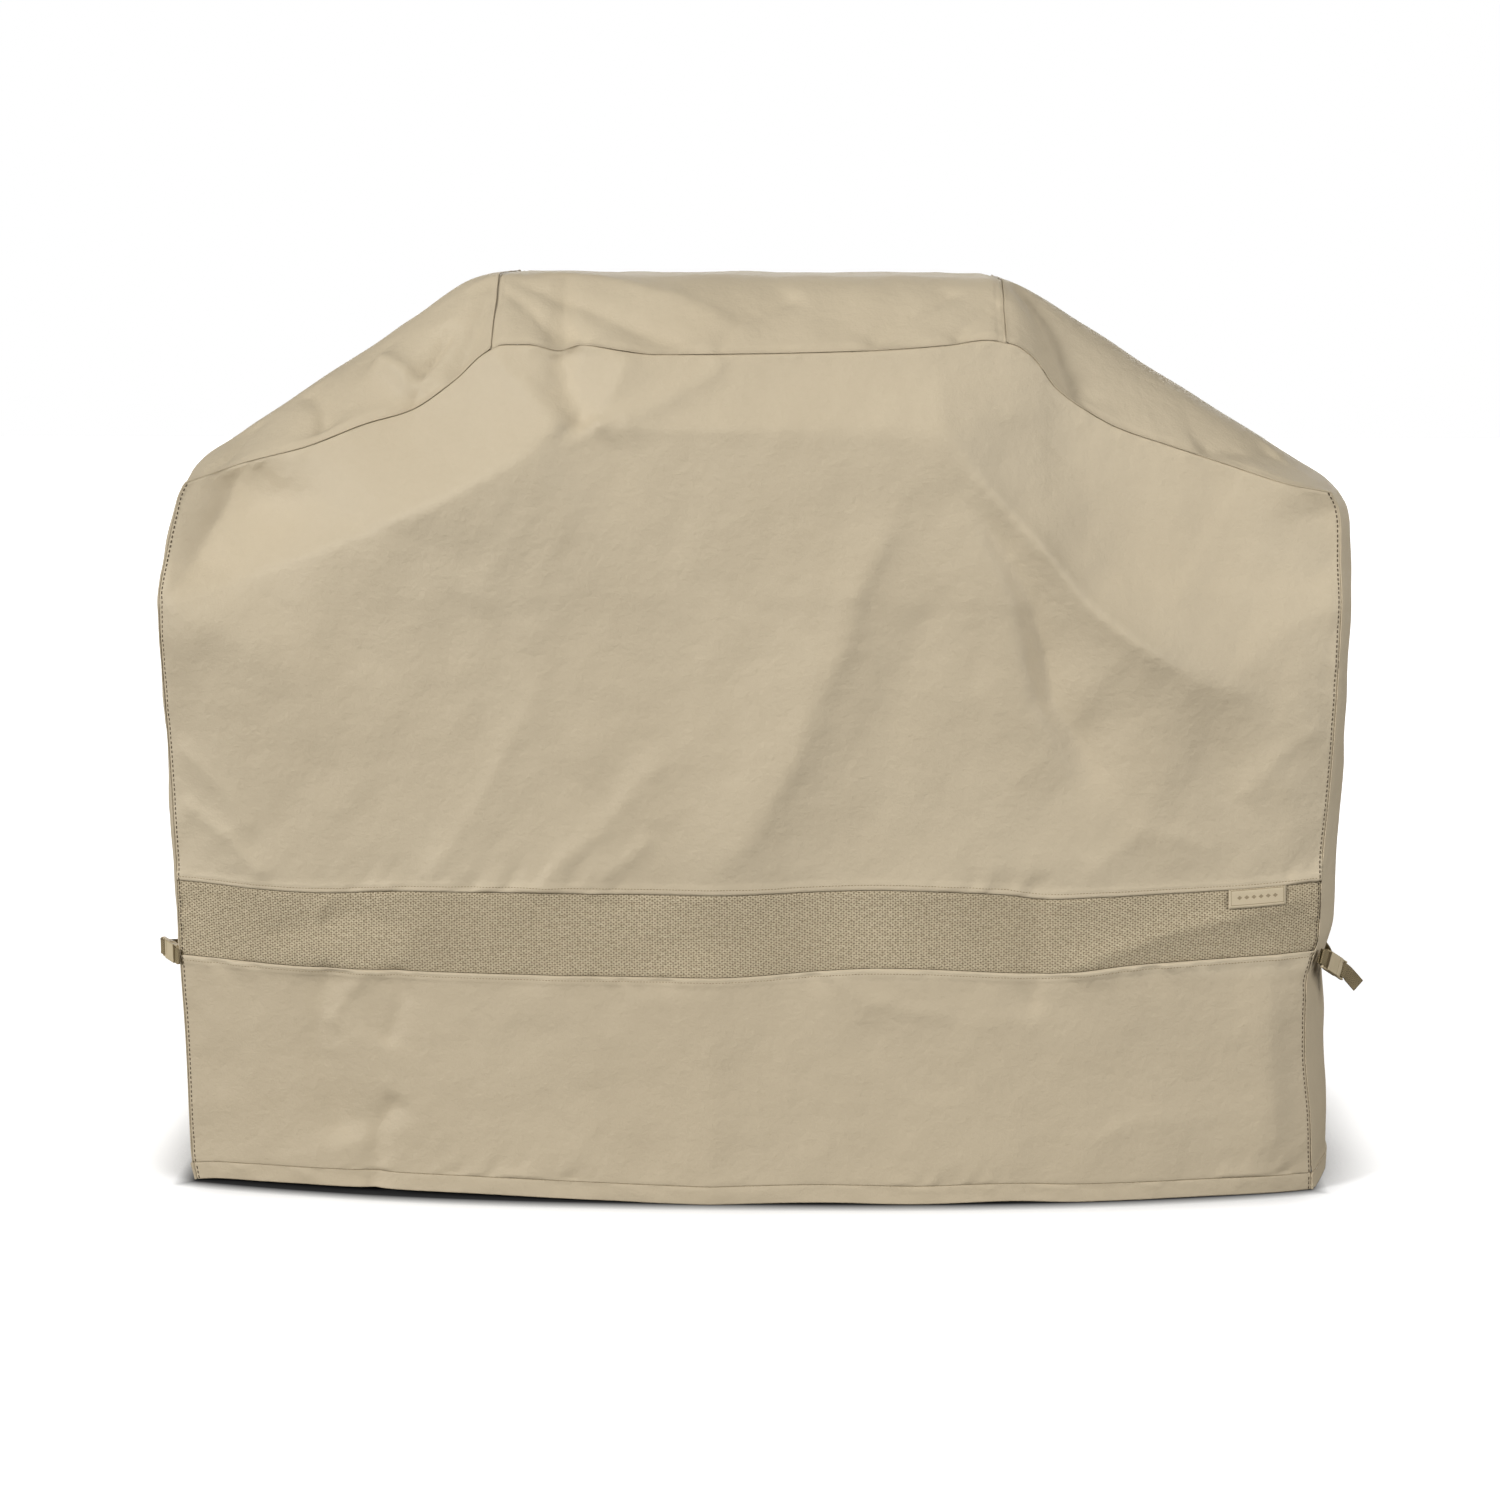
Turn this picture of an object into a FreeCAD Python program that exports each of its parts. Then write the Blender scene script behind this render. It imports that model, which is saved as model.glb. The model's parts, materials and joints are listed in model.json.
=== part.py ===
"""Fitted cover for a free-standing barbecue: sewn fabric panels, a mesh vent, hems and two cinch straps.

Millimetres, +Z up. The origin is on the ground under the middle of the cover, -Y is the front and
+X is to the right of someone facing the front.
"""

import FreeCAD
import Part

import math
import os

from FreeCAD import Matrix, Placement, Vector

# ---- driving dimensions of the cover -----------------------------------------------------------
SHEET = 2.0                  # wall of a coated fabric panel, with its slack
HEM_WALL = 4.0               # wall of the turned and stitched hem
HEM_HEIGHT = 24.0
VENT_BOTTOM = 308.0          # height of the seam under the mesh vent
VENT_TOP = 410.0             # height of the seam over the mesh vent
CREST_HEIGHT = 1216.0        # highest line of the cover
RIDGE_HALF = 335.0           # half the length of the top panel, seam to seam
CREST_HALF_DEPTH = 130.0     # half the depth of the level part of the top
SEAM_HALF_DEPTH = 285.0      # half the depth at the front and back seams of the top panel
SIDE_BULGE = 20.0            # how far a side gusset bows out between its two seams
CUT_REACH = 900.0            # half-size of the blocks that trim the cover, beyond all of it
FORM_REACH = 400.0           # half-depth of the untrimmed form, beyond the front and back walls
BELOW = -10.0                # the untrimmed forms start below the ground and are cut level with it

# half-width of the front panel at each height, seam to seam
SIDE_LINE = [(BELOW, 752.0), (200.0, 749.0), (310.0, 759.0), (420.0, 763.0), (700.0, 772.0), (880.0, 767.0)]
SHOULDER_HALF = 748.0        # half-width where the side turns into the sloping shoulder
KNEE_HALF = 455.0            # half-width where the front seam bends below the ridge

# (height, half-depth in the middle, half-depth at the side seams) of the front and back walls
WALL_LINE = [(BELOW, 375.0, 300.0), (410.0, 350.0, 300.0), (1005.0, 325.0, 300.0),
             (1125.0, 285.0, 285.0), (1300.0, 225.0, 225.0)]
WALL_FLAT_HALF = 380.0       # the middle of a front or back wall is flat over twice this length

# heights of the top outline along the front seam and along the crest
SEAM_TOP = {"shoulder": 942.0, "knee": 1032.0, "ridge": 1125.0}
CREST_TOP = {"shoulder": 958.0, "knee": 1138.0, "ridge": CREST_HEIGHT}

# ---- woven label -------------------------------------------------------------------------------
LABEL_SIZE = Vector(76.0, 0.8, 24.0)
LABEL_LEFT = 632.0           # left edge of the label
LABEL_TILT = 2.0             # degrees, its right end hangs a little higher

# ---- cinch straps and their side-release buckles ----------------------------------------------
WEB_WIDTH = 20.0
WEB_THICK = 1.5
STRAP_HEIGHT = {"left": 312.0, "right": 322.0}
SEAM_X = 757.0               # half-width at the side seam where the strap is sewn in
SEAM_Y = -299.0
STRAP_CLEARANCE = 1.5        # between a strap and the gusset that it crosses
RIGHT_AXIS = (0.55, 0.70, -0.45)
LEFT_AXIS = (-0.50, 0.866, 0.0)

BUCKLE_HALF_WIDTH = 13.0
BUCKLE_HALF_THICK = 4.6
SOCKET_START, SOCKET_END = 8.0, 34.0
SOCKET_WALL = 2.0
WINDOW_START, WINDOW_END = 14.0, 27.0
BAR_RADIUS = 1.8
RAIL_WIDTH = 2.0
RAIL_HALF_THICK = 2.0
PLUG_START, PLUG_END = 34.5, 42.0
LADDER_BARS = (49.0, 58.0)
PRONG_HALF_THICK = 2.3
PRONG_PIVOT_U, PRONG_PIVOT_V = 35.6, 6.6
PRONG_ROOT_RADIUS = 1.4
PRONG_ROOT_GAP = 0.2
WEB_LEAD = 13.0              # from the side seam to the bar of the socket
WEB_DROP = 14.0              # the rear webbing runs this much lower than the sewn tab
WEB_LANDING_Y = -160.0       # where the rear webbing comes to lie along the gusset
REAR_SEAM_Y = 292.0          # and where it ends, at the rear side seam
TAIL_BEND, TAIL_REACH, TAIL_DROP = 7.0, 20.0, 7.0
EDGE_ROUND = 1.2


def block(low, high):
    """A box between two corners."""
    return Part.makeBox(high[0] - low[0], high[1] - low[1], high[2] - low[2], Vector(*low))


def polygon(points):
    """A closed wire through the points."""
    return Part.makePolygon([Vector(*p) for p in points] + [Vector(*points[0])])


def prism(points, along):
    """A flat outline pushed along a vector."""
    return Part.Face(polygon(points)).extrude(Vector(*along))


def ramp(value, table, column):
    """A straight-line lookup of one column in a table whose first column is sorted."""
    for low, high in zip(table, table[1:]):
        if value <= high[0]:
            break
    share = (value - low[0]) / (high[0] - low[0])
    return low[column] + share * (high[column] - low[column])


def inset(points, distance):
    """The outline moved inward by a distance, for a list of (x, z) that runs anticlockwise."""
    moved = []
    for before, here, after in zip(points[-1:] + points[:-1], points, points[1:] + points[:1]):
        first = (here[0] - before[0], here[1] - before[1])
        second = (after[0] - here[0], after[1] - here[1])
        normals = []
        for run in (first, second):
            length = math.hypot(*run)
            normals.append((-run[1] / length, run[0] / length))
        share = 1.0 + normals[0][0] * normals[1][0] + normals[0][1] * normals[1][1]
        moved.append((here[0] + distance * (normals[0][0] + normals[1][0]) / share,
                      here[1] + distance * (normals[0][1] + normals[1][1]) / share))
    return moved


# ---- the cover as a closed form ----------------------------------------------------------------
def top_height(place, depth):
    """Height of the top outline at a place along it, for a distance in front of or behind the middle."""
    seam_depth = ramp(SEAM_TOP[place], WALL_LINE, 1 if place == "ridge" else 2)
    drop = (CREST_TOP[place] - SEAM_TOP[place]) / (seam_depth - CREST_HALF_DEPTH)
    return CREST_TOP[place] - drop * max(abs(depth) - CREST_HALF_DEPTH, 0.0)


def cross_outline(depth):
    """The outline of the cover seen from the front, at one distance from the middle."""
    bulge = SIDE_BULGE * (SEAM_HALF_DEPTH - max(abs(depth), CREST_HALF_DEPTH))
    bulge /= SEAM_HALF_DEPTH - CREST_HALF_DEPTH
    side = [(half + bulge, height) for height, half in SIDE_LINE]
    side.append((SHOULDER_HALF + bulge, top_height("shoulder", depth)))
    side.append((KNEE_HALF, top_height("knee", depth)))
    side.append((RIDGE_HALF, top_height("ridge", depth)))
    return side + [(-x, z) for x, z in reversed(side)]


def long_form(wall):
    """The cover's sides and top as one solid, longer than the cover is deep. wall shrinks it."""
    rings = []
    for depth in (-FORM_REACH, -CREST_HALF_DEPTH, CREST_HALF_DEPTH, FORM_REACH):
        outline = inset(cross_outline(depth), wall)
        rings.append(polygon([(x, depth, z) for x, z in outline]))
    return Part.makeLoft(rings, True, True)


def deep_form(wall):
    """The cover's front and back walls as one solid, wider than the cover. wall shrinks it."""
    rings = []
    for height, middle, side in WALL_LINE:
        slope = (middle - side) / (SHOULDER_HALF - WALL_FLAT_HALF)
        middle -= wall
        corner = middle - slope * (CUT_REACH - WALL_FLAT_HALF)
        half = [(-CUT_REACH, -corner), (-WALL_FLAT_HALF, -middle),
                (WALL_FLAT_HALF, -middle), (CUT_REACH, -corner)]
        ring = half + [(-x, -y) for x, y in half]
        rings.append(polygon([(x, y, height) for x, y in ring]))
    return Part.makeLoft(rings, True, True)


def slice_between(low, high):
    """Everything between two heights."""
    return block((-CUT_REACH, -CUT_REACH, low), (CUT_REACH, CUT_REACH, high))


def side_of(sign, axis, start):
    """Everything beyond a distance from the middle, on one side."""
    low = [-CUT_REACH, -CUT_REACH, -CUT_REACH]
    high = [CUT_REACH, CUT_REACH, 2.0 * CUT_REACH]
    if sign > 0:
        low[axis] = start
    else:
        high[axis] = -start
    return block(low, high)


def cover_panels():
    """Every sewn panel of the cover, by name."""
    whole = long_form(0.0).common(deep_form(0.0)).common(slice_between(0.0, 2.0 * CUT_REACH))
    walls = whole.cut(deep_form(SHEET))
    strip = whole.common(deep_form(SHEET)).cut(long_form(SHEET))
    hem_walls = whole.cut(deep_form(HEM_WALL)).common(slice_between(0.0, HEM_HEIGHT))
    hem_strip = whole.common(deep_form(HEM_WALL)).cut(long_form(HEM_WALL))
    hem_strip = hem_strip.common(slice_between(0.0, HEM_HEIGHT))
    panels = {}
    for name, sign in (("front", -1), ("back", 1)):
        half = walls.common(side_of(sign, 1, 0.0))
        panels[name + "_panel"] = half.common(slice_between(VENT_TOP, 2.0 * CUT_REACH))
        panels[name + "_vent_mesh"] = half.common(slice_between(VENT_BOTTOM, VENT_TOP))
        panels[name + "_skirt"] = half.common(slice_between(HEM_HEIGHT, VENT_BOTTOM))
        panels[name + "_hem"] = hem_walls.common(side_of(sign, 1, 0.0))
    above_hem = strip.common(slice_between(HEM_HEIGHT, 2.0 * CUT_REACH))
    for name, sign in (("left", -1), ("right", 1)):
        panels[name + "_gusset"] = above_hem.common(side_of(sign, 0, RIDGE_HALF))
        panels[name + "_hem"] = hem_strip.common(side_of(sign, 0, RIDGE_HALF))
    ridge_block = block((-RIDGE_HALF, -CUT_REACH, 0.0), (RIDGE_HALF, CUT_REACH, 2.0 * CUT_REACH))
    panels["top_panel"] = above_hem.common(ridge_block)
    return panels


def wall_y(x, height):
    """How far forward the front wall stands at one place, as a positive distance."""
    middle = ramp(height, WALL_LINE, 1)
    side = ramp(height, WALL_LINE, 2)
    slope = (middle - side) / (SHOULDER_HALF - WALL_FLAT_HALF)
    return middle - slope * max(abs(x) - WALL_FLAT_HALF, 0.0)


def woven_label():
    """A small blank label sewn into the seam over the mesh vent."""
    left_y = wall_y(LABEL_LEFT, VENT_BOTTOM)
    right_y = wall_y(LABEL_LEFT + LABEL_SIZE.x, VENT_BOTTOM)
    turn = math.degrees(math.atan2(left_y - right_y, LABEL_SIZE.x))
    plate = Part.makeBox(LABEL_SIZE.x, LABEL_SIZE.y, LABEL_SIZE.z)
    plate.translate(Vector(0.0, -LABEL_SIZE.y, -LABEL_SIZE.z))
    plate.rotate(Vector(0, 0, 0), Vector(0, 1, 0), -LABEL_TILT)
    plate.rotate(Vector(0, 0, 0), Vector(0, 0, 1), turn)
    plate.translate(Vector(LABEL_LEFT, -left_y - SHEET, VENT_TOP - 3.0))
    return plate


# ---- a buckle, drawn flat: u runs from the sewn tab to the free end, v across, n out of its face ---
def rounded(solid, radius):
    """The solid with its long edges eased."""
    edges = [e for e in solid.Edges if e.Length > 4.0 * radius]
    return solid.makeFillet(radius, edges)


def cross_bar(u, half_width):
    """A round bar across a buckle."""
    return Part.makeCylinder(BAR_RADIUS, 2.0 * half_width, Vector(u, -half_width, 0), Vector(0, 1, 0))


def rails(start, end):
    """The two side rails of a webbing loop."""
    half, thick = BUCKLE_HALF_WIDTH, RAIL_HALF_THICK
    inner = half - RAIL_WIDTH
    outer = block((start, -half, -thick), (end, half, thick))
    return outer.cut(block((start - 1.0, -inner, -thick - 1.0), (end + 1.0, inner, thick + 1.0)))


def buckle_socket():
    """The socket half: a flat sleeve, open at one end, with side windows and a bar for the webbing."""
    sleeve = rounded(block((SOCKET_START, -BUCKLE_HALF_WIDTH, -BUCKLE_HALF_THICK),
                           (SOCKET_END, BUCKLE_HALF_WIDTH, BUCKLE_HALF_THICK)), EDGE_ROUND)
    hollow_half = BUCKLE_HALF_WIDTH - SOCKET_WALL
    hollow_thick = BUCKLE_HALF_THICK - SOCKET_WALL
    cavity = block((SOCKET_START + SOCKET_WALL, -hollow_half, -hollow_thick),
                   (SOCKET_END + 1.0, hollow_half, hollow_thick))
    window = block((WINDOW_START, -BUCKLE_HALF_WIDTH - 1.0, -hollow_thick),
                   (WINDOW_END, BUCKLE_HALF_WIDTH + 1.0, hollow_thick))
    loop = rails(-BAR_RADIUS, SOCKET_START + 0.5).fuse(cross_bar(0.0, BUCKLE_HALF_WIDTH - 0.5))
    return sleeve.fuse(loop).cut(cavity).cut(window).removeSplitter()


def prong_roots(radius):
    """The round roots of the two spring prongs."""
    roots = []
    for side in (-1, 1):
        centre = Vector(PRONG_PIVOT_U, side * PRONG_PIVOT_V, -PRONG_HALF_THICK - PRONG_ROOT_GAP)
        height = 2.0 * (PRONG_HALF_THICK + PRONG_ROOT_GAP)
        roots.append(Part.makeCylinder(radius, height, centre, Vector(0, 0, 1)))
    return roots


def buckle_plug():
    """The plug half: a base block, a middle guide and a two-bar ladder for the long webbing."""
    base = rounded(block((PLUG_START, -BUCKLE_HALF_WIDTH, -BUCKLE_HALF_THICK),
                         (PLUG_END, BUCKLE_HALF_WIDTH, BUCKLE_HALF_THICK)), EDGE_ROUND)
    guide = block((WINDOW_START + 2.0, -1.6, -1.8), (PLUG_START + 1.0, 1.6, 1.8))
    ladder = rails(PLUG_END - 0.5, LADDER_BARS[1] + BAR_RADIUS)
    solid = base.fuse(guide).fuse(ladder)
    for u in LADDER_BARS:
        solid = solid.fuse(cross_bar(u, BUCKLE_HALF_WIDTH - 0.5))
    for root in prong_roots(PRONG_ROOT_RADIUS + PRONG_ROOT_GAP):
        solid = solid.cut(root)
    for side in (-1, 1):
        low = min(side * (PRONG_PIVOT_V - 1.9), side * (PRONG_PIVOT_V + 1.9))
        thick = PRONG_HALF_THICK + PRONG_ROOT_GAP
        solid = solid.cut(block((PLUG_START - 1.0, low, -thick), (PRONG_PIVOT_U, low + 3.8, thick)))
    return solid.removeSplitter()


def prong(side):
    """One spring arm of the plug, with the barb that a finger presses through the socket's window."""
    tip = WINDOW_START + 1.5
    heel = WINDOW_END - 1.2
    barb = BUCKLE_HALF_WIDTH - 0.6
    outline = [(PRONG_PIVOT_U, PRONG_PIVOT_V - 1.3), (PRONG_PIVOT_U, PRONG_PIVOT_V + 1.3),
               (heel + 0.4, PRONG_PIVOT_V + 2.2), (heel, barb), (heel - 4.0, barb + 0.3),
               (tip + 1.5, PRONG_PIVOT_V + 2.6), (tip, PRONG_PIVOT_V), (tip + 2.0, PRONG_PIVOT_V - 1.4)]
    points = [(u, side * v, -PRONG_HALF_THICK) for u, v in outline]
    arm = prism(points, (0, 0, 2.0 * PRONG_HALF_THICK))
    centre = Vector(PRONG_PIVOT_U, side * PRONG_PIVOT_V, -PRONG_HALF_THICK)
    root = Part.makeCylinder(PRONG_ROOT_RADIUS, 2.0 * PRONG_HALF_THICK, centre, Vector(0, 0, 1))
    return arm.fuse(root).removeSplitter()


def sewn_tab():
    """The short folded webbing from the side seam round the socket's bar."""
    half = WEB_WIDTH / 2.0
    thick = BAR_RADIUS + WEB_THICK
    fold = Part.makeCylinder(thick, WEB_WIDTH, Vector(0, -half, 0), Vector(0, 1, 0))
    tab = prism([(-WEB_LEAD, -half, -WEB_THICK), (-WEB_LEAD, -half, WEB_THICK), (0, -half, thick),
                 (0, -half, -thick)], (0, WEB_WIDTH, 0))
    core = Part.makeCylinder(BAR_RADIUS, WEB_WIDTH + 2.0, Vector(0, -half - 1.0, 0), Vector(0, 1, 0))
    return tab.fuse(fold).cut(core).removeSplitter()


def strap_tail():
    """The free end of the webbing, hanging from the ladder."""
    half = WEB_WIDTH / 2.0
    last = LADDER_BARS[1]
    rise = BAR_RADIUS + 0.4
    path = [(LADDER_BARS[0] + 1.0, rise), (last, rise), (last + TAIL_BEND, rise - 1.0),
            (last + TAIL_REACH, rise - TAIL_DROP)]
    outline = path + [(u, n + WEB_THICK) for u, n in reversed(path)]
    return prism([(u, -half, n) for u, n in outline], (0, WEB_WIDTH, 0))


# ---- where each buckle goes --------------------------------------------------------------------
def unit(vector):
    length = vector.Length
    return Vector(vector.x / length, vector.y / length, vector.z / length)


def strap_frame(side):
    """The buckle's own directions u, v, n and its origin, the middle of the socket's bar."""
    along = unit(Vector(*(LEFT_AXIS if side == "left" else RIGHT_AXIS)))
    up = Vector(0, 0, 1)
    across = unit(up - along * up.dot(along))
    if side == "left":
        across = across * -1.0
    out = along.cross(across)
    seam = Vector(-SEAM_X if side == "left" else SEAM_X, SEAM_Y, STRAP_HEIGHT[side])
    origin = seam + along * WEB_LEAD + out * (BAR_RADIUS + WEB_THICK)
    return origin, along, across, out


def placed(solid, side):
    """A piece drawn flat, put in its place on one side of the cover."""
    origin, along, across, out = strap_frame(side)
    matrix = Matrix(along.x, across.x, out.x, origin.x,
                    along.y, across.y, out.y, origin.y,
                    along.z, across.z, out.z, origin.z,
                    0, 0, 0, 1)
    moved = solid.copy()
    moved.Placement = Placement(matrix).multiply(moved.Placement)
    return moved


def gusset_x(y, height):
    """Half-width of a gusset's outer face at a distance from the middle of the cover."""
    bulge = SIDE_BULGE * (SEAM_HALF_DEPTH - max(abs(y), CREST_HALF_DEPTH))
    return ramp(height, SIDE_LINE, 1) + bulge / (SEAM_HALF_DEPTH - CREST_HALF_DEPTH)


def rear_web(side):
    """The long webbing from the plug's ladder, back along the gusset to the rear side seam."""
    sign = -1.0 if side == "left" else 1.0
    origin, along, across, out = strap_frame(side)
    half = WEB_WIDTH / 2.0
    height = STRAP_HEIGHT[side] - WEB_DROP
    start = origin + along * (LADDER_BARS[0] + BAR_RADIUS + 0.3) - out * (BAR_RADIUS + 2.0)
    first_up = across * (half * (-1.0 if side == "left" else 1.0))
    stops = [(start, first_up, out)]
    for y in (WEB_LANDING_Y, -CREST_HALF_DEPTH, CREST_HALF_DEPTH, REAR_SEAM_Y):
        x = gusset_x(y, height) + STRAP_CLEARANCE
        stops.append((Vector(sign * x, y, height), Vector(0, 0, half), Vector(sign, 0, 0)))
    solid = None
    for (a, a_up, a_out), (b, b_up, b_out) in zip(stops, stops[1:]):
        rings = []
        for centre, up, outward in ((a, a_up, a_out), (b, b_up, b_out)):
            push = outward * WEB_THICK
            corners = [centre - up, centre + up, centre + up + push, centre - up + push]
            rings.append(Part.makePolygon(corners + corners[:1]))
        piece = Part.makeLoft(rings, True, True)
        solid = piece if solid is None else solid.fuse(piece)
    return solid.removeSplitter()


def strap_parts(side):
    """Every piece of one cinch strap, by name."""
    upper = -1 if side == "left" else 1
    return {
        side + "_front_web": placed(sewn_tab(), side),
        side + "_buckle_socket": placed(buckle_socket(), side),
        side + "_buckle_plug": placed(buckle_plug(), side),
        side + "_upper_prong": placed(prong(upper), side),
        side + "_lower_prong": placed(prong(-upper), side),
        side + "_strap_tail": placed(strap_tail(), side),
        side + "_rear_web": rear_web(side),
    }


def main():
    os.makedirs("parts", exist_ok=True)
    parts = cover_panels()
    parts["woven_label"] = woven_label()
    for side in ("left", "right"):
        parts.update(strap_parts(side))
    for name, shape in parts.items():
        solids = shape.Solids
        if len(solids) != 1 or not shape.isValid():
            print("check", name, len(solids), shape.isValid())
        solids[0].exportStep(os.path.join("parts", name + ".step"))
    for side in ("left", "right"):
        origin, along, across, out = strap_frame(side)
        print(side, "slide axis", [round(c, 6) for c in along], "face", [round(c, 6) for c in out])
        upper = -1 if side == "left" else 1
        for name, sign in (("upper", upper), ("lower", -upper)):
            pivot = origin + along * PRONG_PIVOT_U + across * (sign * PRONG_PIVOT_V)
            print(side, name, "pivot", [round(c, 4) for c in pivot])


main()
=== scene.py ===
"""The looks of a sewn grill cover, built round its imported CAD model. Metres, +Z up, -Y is the front."""

import json
import math

import bpy
import numpy as np
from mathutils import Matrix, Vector


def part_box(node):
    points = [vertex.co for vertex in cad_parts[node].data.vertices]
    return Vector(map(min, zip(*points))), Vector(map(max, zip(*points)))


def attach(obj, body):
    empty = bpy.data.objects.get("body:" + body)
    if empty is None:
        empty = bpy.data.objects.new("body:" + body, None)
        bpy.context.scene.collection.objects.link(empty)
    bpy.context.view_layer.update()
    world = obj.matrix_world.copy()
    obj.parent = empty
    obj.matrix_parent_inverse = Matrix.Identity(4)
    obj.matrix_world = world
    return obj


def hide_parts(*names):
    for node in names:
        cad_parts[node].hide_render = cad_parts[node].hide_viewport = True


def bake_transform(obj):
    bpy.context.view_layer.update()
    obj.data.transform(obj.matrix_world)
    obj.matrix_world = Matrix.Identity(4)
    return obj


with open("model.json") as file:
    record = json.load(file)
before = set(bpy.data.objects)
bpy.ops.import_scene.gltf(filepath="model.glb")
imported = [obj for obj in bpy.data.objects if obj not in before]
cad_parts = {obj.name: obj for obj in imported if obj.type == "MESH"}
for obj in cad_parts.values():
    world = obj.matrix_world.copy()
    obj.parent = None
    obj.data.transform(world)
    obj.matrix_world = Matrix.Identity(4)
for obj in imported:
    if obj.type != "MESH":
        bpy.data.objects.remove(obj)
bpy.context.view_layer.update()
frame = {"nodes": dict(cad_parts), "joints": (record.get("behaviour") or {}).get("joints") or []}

# ---- places read from the frame ----
HEM_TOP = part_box("front_hem")[1].z
VENT_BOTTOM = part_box("front_vent_mesh")[0].z
VENT_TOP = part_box("front_vent_mesh")[1].z
RIDGE_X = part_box("top_panel")[1].x
CREST_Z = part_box("top_panel")[1].z

# ---- the cover's outlines, (x, z) seen from the front ----
# the side seams, from the hem up to the shoulder: height and distance from the middle
LEFT_SEAM = [(0.0, 0.748), (0.04, 0.754), (0.20, 0.757), (0.33, 0.762), (0.42, 0.763), (0.56, 0.766),
             (0.70, 0.769), (0.80, 0.768), (0.865, 0.760), (0.905, 0.752), (0.93, 0.746), (0.945, 0.738)]
RIGHT_SEAM = [(0.0, 0.757), (0.10, 0.752), (0.20, 0.742), (0.27, 0.741), (0.33, 0.756), (0.42, 0.757),
              (0.56, 0.764), (0.70, 0.769), (0.83, 0.773), (0.89, 0.772), (0.915, 0.768), (0.935, 0.757)]
# the front seam of the top, from the left shoulder to the right one
TOP_SEAM = [(-0.738, 0.945), (-0.66, 0.971), (-0.585, 0.990), (-0.50, 1.022), (-0.445, 1.038),
            (-0.383, 1.079), (-0.345, 1.113), (-0.318, 1.125), (-0.285, 1.125), (-0.245, 1.117),
            (-0.218, 1.125), (-0.165, 1.118), (-0.12, 1.113), (0.0, 1.114), (0.13, 1.117),
            (0.26, 1.125), (0.307, 1.131), (0.344, 1.125), (0.372, 1.106), (0.398, 1.071),
            (0.430, 1.046), (0.482, 1.017), (0.55, 0.994), (0.633, 0.967), (0.70, 0.946), (0.757, 0.935)]
# the crest of the top strip, from the left shoulder to the right one
CREST = [(-0.772, 0.932), (-0.762, 0.946), (-0.732, 0.974), (-0.69, 1.003), (-0.607, 1.056), (-0.525, 1.109),
         (-0.444, 1.162), (-0.372, 1.207), (-0.335, 1.2145), (-0.30, 1.2140), (-0.20, 1.2125), (0.0, 1.2118),
         (0.20, 1.2105), (0.315, 1.2095), (0.345, 1.2035), (0.439, 1.149), (0.52, 1.098), (0.601, 1.048),
         (0.682, 0.999), (0.735, 0.965), (0.768, 0.945), (0.788, 0.927)]
UPRIGHT_TOP = 0.93           # the sides are upright up to this height
SIDE_X = 0.76                # and stand about this far from the middle
CREST_FLAT = 0.27            # share of the strip's depth from a seam to its level part
LEFT_FLAT = 0.35             # the same on the left side
BACK_DEPTH = 0.93            # the back hangs a little flatter than the front
BACK_FOLDS = 0.8             # and its folds are lower

# how far forward of the middle the front panel stands: height, in the middle, at the side seams
FRONT_LINE = [(0.0, 0.384, 0.300), (0.15, 0.371, 0.298), (0.31, 0.360, 0.298), (0.41, 0.352, 0.299),
              (0.70, 0.346, 0.302), (0.95, 0.342, 0.304), (1.02, 0.338, 0.300), (1.14, 0.335, 0.296)]
BULGE_POWER = 2.6              # how square the front is between its side seams, seen from above
FOLD_ROUND = 0.22            # how rounded a fold's crest is, as a share of its width
MOTTLE = 0.0012              # height of the loose cloth's slight unevenness
# the same for the front seam of the top: x, distance forward of the middle
SEAM_DEPTH = [(-0.76, 0.292), (-0.60, 0.266), (-0.45, 0.262), (-0.32, 0.280), (-0.20, 0.296), (0.0, 0.300),
              (0.22, 0.296), (0.32, 0.278), (0.45, 0.264), (0.60, 0.266), (0.77, 0.290)]
# the line where the cloth turns over the grill's lid and falls away to both shelves
BROW = [(-0.78, 0.785), (-0.742, 0.800), (-0.639, 0.830), (-0.488, 0.888), (-0.364, 0.942), (-0.30, 0.980),
        (-0.262, 1.012), (-0.245, 1.018), (0.0, 1.017), (0.246, 1.016), (0.262, 1.002), (0.324, 0.930),
        (0.383, 0.866), (0.435, 0.801), (0.52, 0.737), (0.60, 0.690), (0.70, 0.672), (0.78, 0.665)]
# how far each side's middle stands out past its seams, by height
LEFT_BULGE = [(0.0, 0.020), (0.2, 0.022), (0.31, 0.026), (0.42, 0.036), (0.6, 0.034), (0.8, 0.030),
              (0.95, 0.026)]
RIGHT_BULGE = [(0.0, 0.037), (0.2, 0.046), (0.31, 0.040), (0.42, 0.041), (0.6, 0.038), (0.8, 0.035),
               (0.95, 0.031)]
SHOULDER_DROP = 0.010        # how far the sides' middle falls below their seams at the shoulder

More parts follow.
